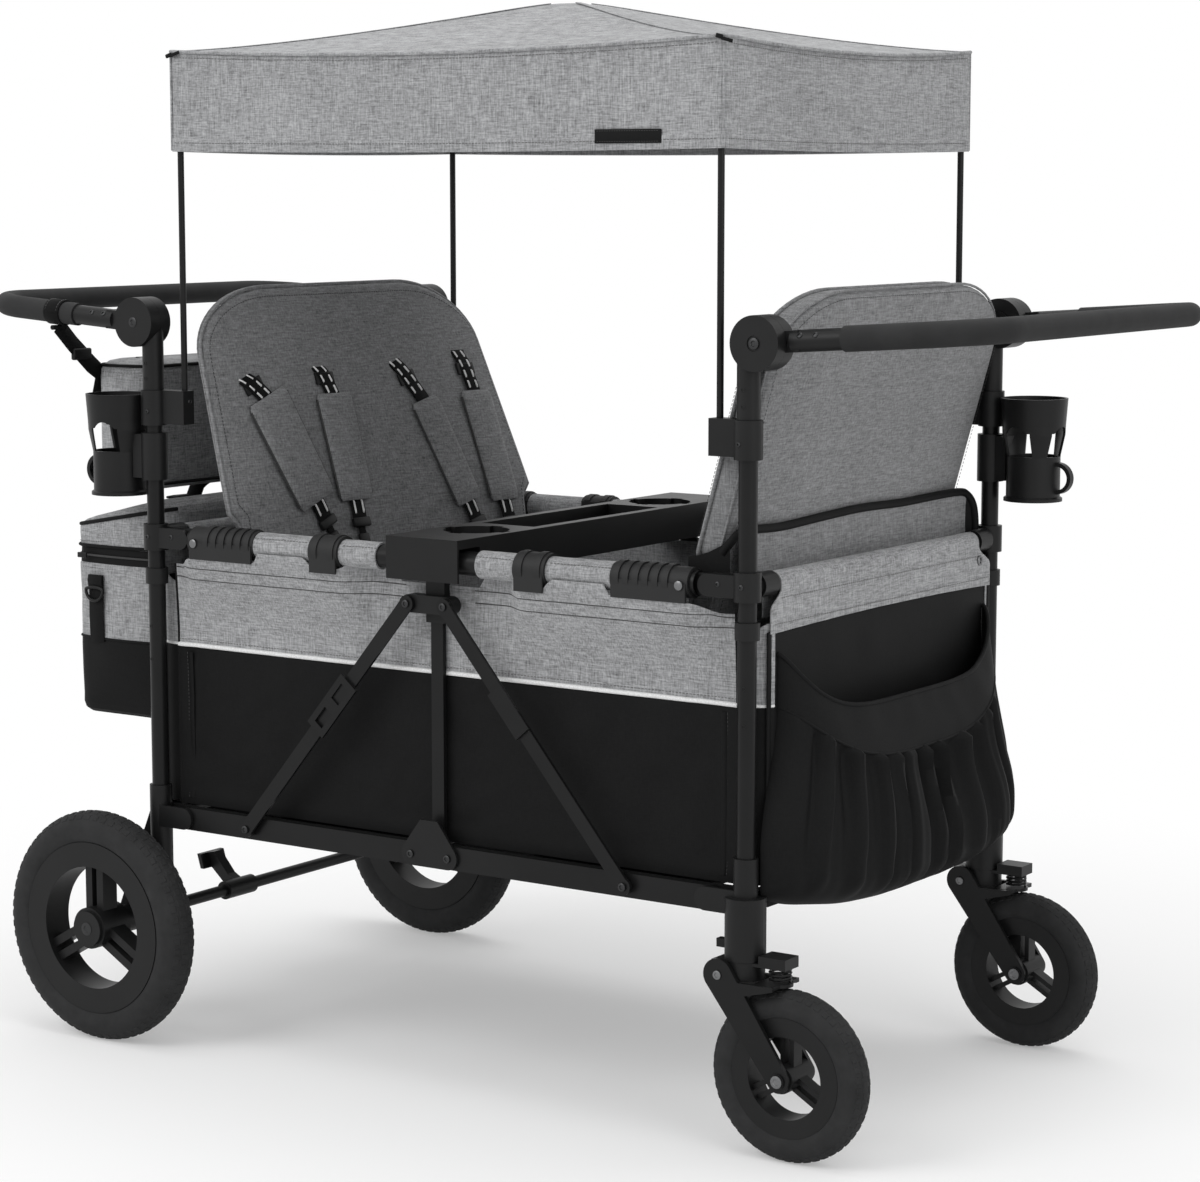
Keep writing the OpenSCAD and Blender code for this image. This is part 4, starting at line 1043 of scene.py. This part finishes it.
def on_face(y, z, off):
    """A point that distance off the rear seat's face."""
    return seat_point("rear", y, z, 0) + face_out(y, z) * off


def face_out(y, z):
    """The way the rear seat's face looks there."""
    p = seat_point("rear", y, z, 0)
    a, b = seat_point("rear", y + 5, z, 0) - p, seat_point("rear", y, z + 5, 0) - p
    return a.cross(b).normalized()


def shoulder_pad(pads, a, along, across, out, length, wide, seed):
    """A flat soft tube, with a thin dark line down each side: painted shade along its folded edges."""
    def half_at(t):
        return wide * lerp(1.04, 0.96, t)

    rings = []
    for t in spread(0, 1, 23):
        end = clamp(min(t, 1 - t) * length / 9) ** 0.5
        half, rise = half_at(t) * lerp(0.9, 1, end), 5.5 * (0.35 + 0.65 * end)
        ring = []
        for w in circle(20):
            cy, cz = cos(w), sin(w)
            sq = (abs(cy) ** 4 + abs(cz) ** 4) ** 0.25
            lump = 1 + 0.05 * ripple(t * 120, half * cy, seed, 26)
            flat = a + along * (t * length) + across * (half * cy / max(sq, 0.8))
            ring.append(flat + out * (rise * cz / sq * lump + 2.5))
        rings.append(ring)
    pads.rings(rings)
    # Dark thread lines down both sides: painted shade along the pad's edges
    for s in (-1, 1):
        edge = [a + along * (t * length) + across * s * (half_at(t) + 0.4) + out * 2.5 for t in spread(0.05, 0.95, 14)]
        pads.tube(edge, 1.5, 6, 1)


def make_harness():
    web, pads, hard = Shape(), Shape(), Shape()
    # Each spare slot is a short grey bar on the face: the slot's stitching, with the slit's shade painted in
    for y, z in SPARE_SLOTS:
        sewn = [on_face(y - 11, z - 1, 1.0), on_face(y, z, 1.3), on_face(y + 11, z + 1, 1.0)]
        web.strap(sewn, (0, 0, 1), 1.6, 0.6, 2)
    for slot, top, low, wide in HARNESS:
        out = face_out(*top)
        a, b = on_face(*top, 5), on_face(*low, 5)
        along = (b - a).normalized()
        across = along.cross(out).normalized()
        start = on_face(*slot, 1)
        lift = on_face(lerp(slot[0], top[0], 0.45), lerp(slot[1], top[1], 0.45), 7)
        path = [start, start.lerp(lift, 0.5) + out * 1.5, lift, a + out * 1.5, a + along * 30]
        web.strap(path, across, STRAP_W, STRAP_T)
        for s in (-7.5, 7.5):
            web.stitches([p + across * s + out * 1.2 for p in path[:4]], out, 11, 4.5, 2.6, 1)
            dash = [b + across * s + out * 2.6, b + along * 22 + across * s + out * 2.2]
            web.stitches(dash, out, 18, 4, 2.6, 1)
        web.strap([b - along * 20, b + along * 12 + out, b + along * 26], across, STRAP_W, STRAP_T)
        tail = [b + along * 24, b + along * 46 - out * 0.5, b + along * 66 - out * 1.5]
        web.strap(tail, across, 12, STRAP_T)
        turn = Matrix((across, out, -along)).transposed()
        hard.block(lift - out * 1.6, (34, 3.6, 17), 1.4, turn)
        hard.block(b + along * 30 + out * 1.5, (31, 7, 13), 2.4, turn)
        hard.block(b + along * 54, (17, 6, 18), 2, turn)
        # A black bar across each slot, wider than the webbing: painted shade in the slit where the webbing goes in
        web.strap([start - across * 15, start, start + across * 15], along, 3.4, 1.6)
        shoulder_pad(pads, a, along, across, out, (b - a).length, wide, slot[0])
    soft = piece("harness_pads", pads, [SEAT, DARK_THREAD], "rear_frame", 60, ["rear_harness"])
    straps = piece("harness_webbing", web, [WEBBING, WHITE, GREY_THREAD], "rear_frame", 60)
    clips = piece("harness_buckles", hard, PLASTIC, "rear_frame", 40)
    for o in (soft, straps, clips):
        crumple(o)


# Bags at the rear: rounded shells built in rings from the bottom up


def bag_ring(x0, x1, half, inset, corner, bulge, n=12):
    """A rounded rectangle with gently crowned sides, as (x, y); x1 is the flat side against the wagon."""
    cx, hx, hy = (x0 + x1) / 2, (x1 - x0) / 2 - inset, half - inset
    r = max(corner - inset * 0.7, 5)
    points = []
    for k in range(4):
        turn = pi / 2 * k
        a, b = (hx, hy) if k % 2 == 0 else (hy, hx)
        for t in spread(-1, 1, n):
            crown = bulge * (1 - t * t) * (0 if k == 0 else 1)
            points.append((a + crown, t * (b - r), turn))
        for t in (0.25, 0.5, 0.75):
            ang = t * pi / 2
            points.append((a - r + r * cos(ang), b - r + r * sin(ang), turn))
    return [Vector((cx + p * cos(t) - q * sin(t), p * sin(t) + q * cos(t))) for p, q, t in points]


# The cooler's back and front, half width and floor, and the heights of its seams
COOLER = (-640, -464, 246, 403)
COOLER_TOP, COOLER_LID, COOLER_ZIP, COOLER_BASE = 682, 628, 606, 507
COOLER_R, COOLER_SWELL = 26, 7
D_RING_X, GRIP_AT = -591, -562


def cooler_lift(x, z):
    """The lid rises towards the wagon."""
    return (z - COOLER_LID) / (COOLER_TOP - COOLER_LID) * (x + 560) * 0.23 if z > COOLER_LID else 0


def open_line(points):
    """A loop of points begun after its widest gap."""
    cut = max(range(len(points)), key=lambda i: (points[i] - points[i - 1]).length)
    return points[cut:] + points[:cut]


def make_cooler():
    x0, x1, half, low = COOLER
    bag, trim = Shape(), Shape()
    steps = [(low, 20), (low + 2, 9), (low + 7, 2.5), (low + 15, 0)]
    steps += [(z, 0) for z in spread(low + 26, COOLER_BASE - 1, 9)] + [(COOLER_BASE + 1, 0)]
    steps += [(z, 0) for z in spread(COOLER_BASE + 10, COOLER_ZIP - 1, 8)]
    steps += [(COOLER_ZIP + 0.5, 1), (COOLER_LID - 1, 1), (COOLER_LID, 0), (640, 0), (652, 0), (664, 0.5), (671, 3)]
    steps += [(676, 9), (679, 20), (COOLER_TOP, 45), (COOLER_TOP + 1.5, 68)]
    rings = []
    for z, inset in steps:
        nipped = 0.45 * ease(COOLER_ZIP - 40, COOLER_ZIP, z) * (1 - ease(COOLER_LID, 650, z))
        swell = COOLER_SWELL * ease(0, 60, z - low) * (1 - nipped)
        ring = []
        for p in bag_ring(x0, x1, half, inset, COOLER_R, swell):
            wave = 1.6 * ripple(p.x, p.y, z * 1.4, 48)
            x = max(p.x + wave * 0.6, x0 - 8)
            ring.append(Vector((min(x, x1), p.y + wave * 0.6, z + cooler_lift(p.x, z))))
        rings.append(ring)
    for k in range(len(rings) - 1):
        z = (steps[k][0] + steps[k + 1][0]) / 2
        number = 1 if z < COOLER_BASE or COOLER_ZIP < z < COOLER_LID else 0
        bag.rings([rings[k], rings[k + 1]], number, caps=False)
    for ring, number in ((rings[0], 1), (rings[-1], 0)):
        bag.add(ring, [list(range(len(ring)))], number)

    def round_at(z, out):
        """A line round the bag, open where it lies against the wagon."""
        ring = bag_ring(x0, x1, half, -out, COOLER_R, COOLER_SWELL if z < COOLER_ZIP - 40 or z > 650 else 4)
        return open_line([Vector((p.x, p.y, z + cooler_lift(p.x, z))) for p in ring if p.x < x1 - 1])

    for z, out, r in ((669, -1.0, 2.6), (COOLER_BASE, 0.4, 1.8), (COOLER_LID + 2, 0.6, 2.2)):
        trim.tube(round_at(z, out), r, 8)
    trim.tube(round_at((COOLER_ZIP + COOLER_LID) / 2, 0.2), 1.5, 6, 1)
    for z, out in ((COOLER_ZIP - 6, 0.2), (COOLER_LID + 9, 0.4)):
        trim.stitches(round_at(z, out), (0, 0, 1), slot=2)
    for s in (-1, 1):
        y = s * (half + 7.5)
        for offs in (((0, 503), (1.2, 540), (0, 592)), ((2, 592), (3.5, 584), (2, 576))):
            trim.strap([(D_RING_X, y + s * off, z) for off, z in offs], (1, 0, 0), STRAP_W, STRAP_T)
        ring = []
        for a in circle(24):
            drop = sin(a) * (1.3 if sin(a) > 0 else 0.35)
            ring.append((D_RING_X + 15 * cos(a), y + s * 4.5, 572 - 11 * drop))
        trim.tube(ring, 2.2, 8, 3, closed=True)
        trim.block((-615, y + s * 0.5, 617), (16, 3, 7), 1, slot=3)
    arch = [(GRIP_AT, y, 686 + 26 * (1 - (abs(y) / 92) ** 2.4) ** 0.5 - 4 * (abs(y) > 88)) for y in spread(-91, 91, 31)]
    tabs = [[(GRIP_AT, s * y, z) for y, z in ((91, 686), (118, 686.5), (132, 686))] for s in (-1, 1)]
    for path in [arch] + tabs:
        trim.strap(path, (1, 0, 0), 26, 3)
    pocket_x, pocket_y = x0 - 8.6, 170
    box = [Vector((pocket_x, y * pocket_y, z)) for y, z in ((-1, 488), (-1, 420), (1, 420), (1, 488))]
    outline = [a.lerp(b, t) for a, b in zip(box, box[1:]) for t in (0, 0.25, 0.5, 0.75)] + [box[3]]
    trim.tube(outline, 1.6, 6)
    trim.strap([(pocket_x + 0.2, y, 490) for y in spread(-pocket_y, pocket_y, 20)], (0, 0, 1), 14, 2.4)
    obj = piece("cooler", bag, [HEATHER, NYLON], "rear_frame", 50, ["cooler_bag"])
    piece("cooler_trim", trim, [NYLON, DARK_THREAD, GREY_THREAD, PLASTIC], "rear_frame", 50)


# The organizer's back and front, half width, bottom and top; the loops lie this far along the handle's arms
ORGANIZER = (-604, -505, 238, 705, 878)
ORGANIZER_R, LOOP_AT = 24, 137
LOOP_YS = (-303.3, 284.7)


def make_organizer():
    x0, x1, half, low, top = ORGANIZER
    bag, trim = Shape(), Shape()
    steps = [(low, 24), (low + 2, 10), (low + 7, 3), (low + 15, 0)] + [(z, 0) for z in spread(low + 26, top - 26, 12)]
    steps += [(top - 15, 0.5), (top - 8, 4), (top - 3, 11), (top, 24), (top + 1.5, 40)]
    rings = []

    def sag(y):
        return 3 * (1 - (y / half) ** 2)

    for z, inset in steps:
        ring = []
        for p in bag_ring(x0, x1, half, inset, ORGANIZER_R, 5 * sin(pi * clamp((z - low) / (top - low)))):
            x, y = p.x + 1.2 * ripple(p.x, p.y, z, 40), p.y + 1.2 * ripple(p.y, z, p.x, 40)
            ring.append(Vector((x, y, z - sag(p.y) * (z > top - 30))))
        rings.append(ring)
    bag.rings(rings)

    def whole(z, out):
        return [Vector((p.x, p.y, z)) for p in bag_ring(x0, x1, half, -out, ORGANIZER_R, 4)]

    for z, out, r in ((top - 9, -2.2, 2.2), (low + 9, -1.5, 2.0)):
        trim.tube(whole(z, out), r, 8, closed=True)
    ridge = [Vector(((x0 + x1) / 2, y, top - sag(y))) for y in spread(-half + 30, half - 30, 30)]
    trim.strap([p - Vector((0, 0, 1)) for p in ridge], (1, 0, 0), 20, 2.4)
    trim.tube([p + Vector((0, 0, 0.8)) for p in ridge], 1.4, 6, 1)
    trim.stitches(whole(top - 18, 0.2), (0, 0, 1), slot=2)
    hinge = joint_at("organizer_hang")
    for arm in LOOP_YS:
        upper = Vector((hinge.x, arm, hinge.z))
        lower = Vector((x0 + 14, copysign(half - 10, arm), top - 30))
        path = [upper + Vector((0, 0, 2))] + [upper.lerp(lower, t) - Vector((1.5, 0, 0)) for t in (0.3, 0.7)]
        path += [lower + Vector((-8, 0, 8)), lower + Vector((-16, 0, -26))]
        trim.strap(path, (0, 1, 0), 24, 2.2)
        trim.tube([upper + Vector((0, t, 0)) for t in spread(-12, 12, 5)], 3.2)
        trim.block(upper.lerp(lower, 0.5) - Vector((2, 0, 0)), (7, 33, 15), 2, slot=3)
    obj = piece("organizer_shell", bag, HEATHER, "organizer", 50, ["organizer_bag"])
    piece("organizer_trim", trim, [NYLON, DARK_THREAD, GREY_THREAD, PLASTIC], "organizer", 50)


# Loops of webbing that hold the organizer's straps on the rear handle, drawn at the front and turned
HANDLE_RISE = radians(4)


def make_loops():
    loops = Shape()
    along = Vector((cos(HANDLE_RISE), 0, sin(HANDLE_RISE)))
    up = Vector((-sin(HANDLE_RISE), 0, cos(HANDLE_RISE)))
    for y in LOOP_YS[::-1]:
        centre = Vector((HUB.x, -y, HUB.z)) + along * LOOP_AT

        def round_arm(a, r):
            return centre + (Vector((0, 1, 0)) * cos(a) + up * sin(a)) * r

        loops.strap([round_arm(a, 15.7) for a in spread(0, 2 * pi, 33)], along, 26, 1.9)
        for s in (-9.5, 9.5):
            row = [round_arm(a, 16.7) + along * s for a in spread(0.2, 2.9, 12)]
            loops.stitches(row, (0, 0, 1), 2.4, 1.6, 0.8, 1)
    piece("webbing_loops", loops.turned(), [WEBBING, GREY_THREAD], "rear_handle", 50,
          ["organizer_loops"])


# Padded floor mats on boards, quilted in squares, with tabs that lap on to the lower rails
MAT_START, MAT_STOP, MAT_HALF, MAT_Z = 6, PIVOT_X - 8, 268, 304.4
TAB_X, TAB_Y = 70, 277.5


def mat_top(x, y):
    rim = min(x - MAT_START, MAT_STOP - x, MAT_HALF - abs(y))
    quilt = 0.5 * (1 - abs(sin(pi * x / 95)) ** 0.4 * abs(sin(pi * y / 134)) ** 0.4)
    return MAT_Z + 1.5 * ease(0, 14, rim) - quilt


def make_floor_mats():
    for end, sign in (("front", 1), ("rear", -1)):
        mat = Shape()
        mat.sheet(lambda x, y: (sign * x, y, mat_top(x, y)), spread(MAT_START, MAT_STOP, 50),
                  spread(-MAT_HALF, MAT_HALF, 70), -4.2 * sign)
        for y in (-TAB_Y, TAB_Y):
            for x in (TAB_X, PIVOT_X - TAB_X):
                mat.block((sign * x, y, MAT_Z - 2.8), (24, 18.5, 2.6), 0.6)
        obj = piece(end + "_mat", mat, NYLON, end + "_lower", 50, [end + "_floor"])


# Small fasteners, set where a line meets the CAD's own surface
BODY_OF = {node: body for body, group in frame["record"]["behaviour"]["bodies"].items() for node in group}
MID_X, STRUT_X = 28, 288
# Outlines as (share of the radius, height in millimetres)
SCREW_HEAD = [(0, -0.9), (1, -0.9), (1, 0.5), (0.86, 1.0), (0.52, 1.2), (0.42, 0.1), (0, 0.1)]
HOLE = [(0, -0.5), (1, -0.5), (1, 0.3), (0.78, 0.4), (0.72, -0.3), (0, -0.3)]
RIVET = [(0, -0.5), (1.15, -0.5), (1.15, 0.5), (0.95, 0.9), (0.62, 0.9), (0.55, 0.2), (0, 0.2)]
DOME = [(0, -0.5), (1, -0.5), (1, 0.5), (0.8, 1.1), (0.4, 1.4), (0, 1.5)]
# Node, outline, radius, material number, and x and z of a line into the wagon from its right side, at the front
FASTENERS = [
    ("front_hubs", SCREW_HEAD, 6.5, 0, 463, 931), ("front_hubs", HOLE, 2.6, 2, 447, 879),
    ("front_hubs", HOLE, 2.6, 2, 447, 860), ("front_handle", SCREW_HEAD, 3.6, 0, 512, 941),
    ("front_handle", SCREW_HEAD, 3.6, 0, 532, 942), ("front_brackets", SCREW_HEAD, 2.8, 0, 443, 818),
    ("front_brackets", SCREW_HEAD, 3.2, 0, 412, 658), ("front_brackets", SCREW_HEAD, 3.2, 0, 447, 657),
    ("front_posts", HOLE, 2.4, 2, 448, 541), ("front_posts", HOLE, 2.4, 2, 448, 498),
    ("front_rail_grips", DOME, 5.5, 1, 366, 654), ("front_struts", SCREW_HEAD, 5.0, 0, STRUT_X, LOW_Z),
    ("sliders", SCREW_HEAD, 4.8, 0, MID_X, 603), ("gussets", SCREW_HEAD, 4.8, 0, MID_X, LOW_Z)]
# The same for one end only
CASTER_FASTENERS = [("caster_head_r", RIVET, 4.6, 1, 427, 212), ("fork_r", RIVET, 6.4, 1, 508, 100),
                    ("rear_rim_r", RIVET, 7.5, 0, -500, 150)]
# The outside and the wheels' inner side, as where a line starts and which way it goes
FROM_RIGHT, FROM_MIDDLE = (-450, 1), (-200, -1)


def struck(node, start, way):
    """Where a line first meets a CAD node, and the way the surface faces there."""
    obj = frame["nodes"][node]
    points = [obj.matrix_world @ v.co / MM for v in obj.data.vertices]
    tree = BVHTree.FromPolygons(points, [p.vertices[:] for p in obj.data.polygons])
    place, normal, _, _ = tree.ray_cast(Vector(start), Vector(way))
    return place, normal if normal.dot(Vector(way)) < 0 else -normal


def flipped(row, x, y, line=FROM_RIGHT):
    """A fastener on any side or end of the wagon, with its line's start and way."""
    node, outline, r, number, at_x, at_z = row
    node = node.replace("front_", "rear_") if x < 0 else node
    node = node[:-2] + "_l" if y < 0 and node.endswith("_r") else node
    return node, outline, r, number, (at_x * x, line[0] * y, at_z), (0, line[1] * y, 0)


def make_fasteners():
    rows = [flipped(row, x, y) for row in FASTENERS for x in (1, -1) for y in (1, -1)]
    rows += [flipped(row, 1, y) for row in CASTER_FASTENERS for y in (1, -1)]
    rows += [flipped(row, 1, y, FROM_MIDDLE) for row in CASTER_FASTENERS[:2] for y in (1, -1)]
    rows += [(end + "_brackets", SCREW_HEAD, 3.0, 0, (x * 340, y * 284, 831), (x, 0, 0))
             for end, x in (("front", 1), ("rear", -1)) for y in (-1, 1)]
    bpy.context.view_layer.update()
    shapes = {}
    for node, outline, r, number, start, way in rows:
        place, normal = struck(node, start, way)
        shape = shapes.setdefault(BODY_OF[node], Shape())
        shape.lathe([(a * r, h) for a, h in outline], place, normal, 14, number)
    for body, shape in shapes.items():
        piece(body + "_fasteners", shape, [SCREW, SNAP, PLASTIC], body)


# Tread: rows of low blocks round the tyres; the radius, tube radius and count of each pair of wheels
TREAD = {"rear": (150, 24, 66), "front": (100, 19, 50)}


def tread_block(shape, place, out, along, across, size):
    """A low block with sloping sides, sunk a little into the tyre."""
    points = []
    for share, height in ((1, -0.5), (0.8, size[2])):
        for a, b in ((-1, -1), (1, -1), (1, 1), (-1, 1)):
            flat = along * (a * share * size[0] / 2) + across * (b * share * size[1] / 2)
            points.append(place + flat + out * height)
    shape.add(points, BOX_FACES)


def make_tread():
    for end, (radius, tube, count) in TREAD.items():
        for side in "rl":
            centre = joint_at(end + "_wheel_spin_" + side)
            shape = Shape()
            for k in range(count):
                for row, lean in enumerate((-40, -14, 14, 40)):
                    turn = 2 * pi * (k + 0.5 * (row % 2)) / count
                    spoke = Vector((cos(turn), 0, sin(turn)))
                    a = radians(lean)
                    out = spoke * cos(a) + Vector((0, sin(a), 0))
                    along = Vector((-sin(turn), 0, cos(turn)))
                    place = centre + spoke * (radius - tube) + out * tube
                    pitch = 2 * pi * radius / count
                    tread_block(shape, place, out, along, out.cross(along), (pitch * 0.62, tube * 0.34, 0.6))
            piece(end + "_tread_" + side, shape, TYRE, BODY_OF[end + "_tyre_" + side], 30)


for make in (make_floor, make_light, make_canopy, make_tub, make_sleeves, make_ends, make_basket, make_seats,
             make_pocket, make_harness, make_cooler, make_organizer, make_loops, make_floor_mats, make_fasteners,
             make_tread):
    make()
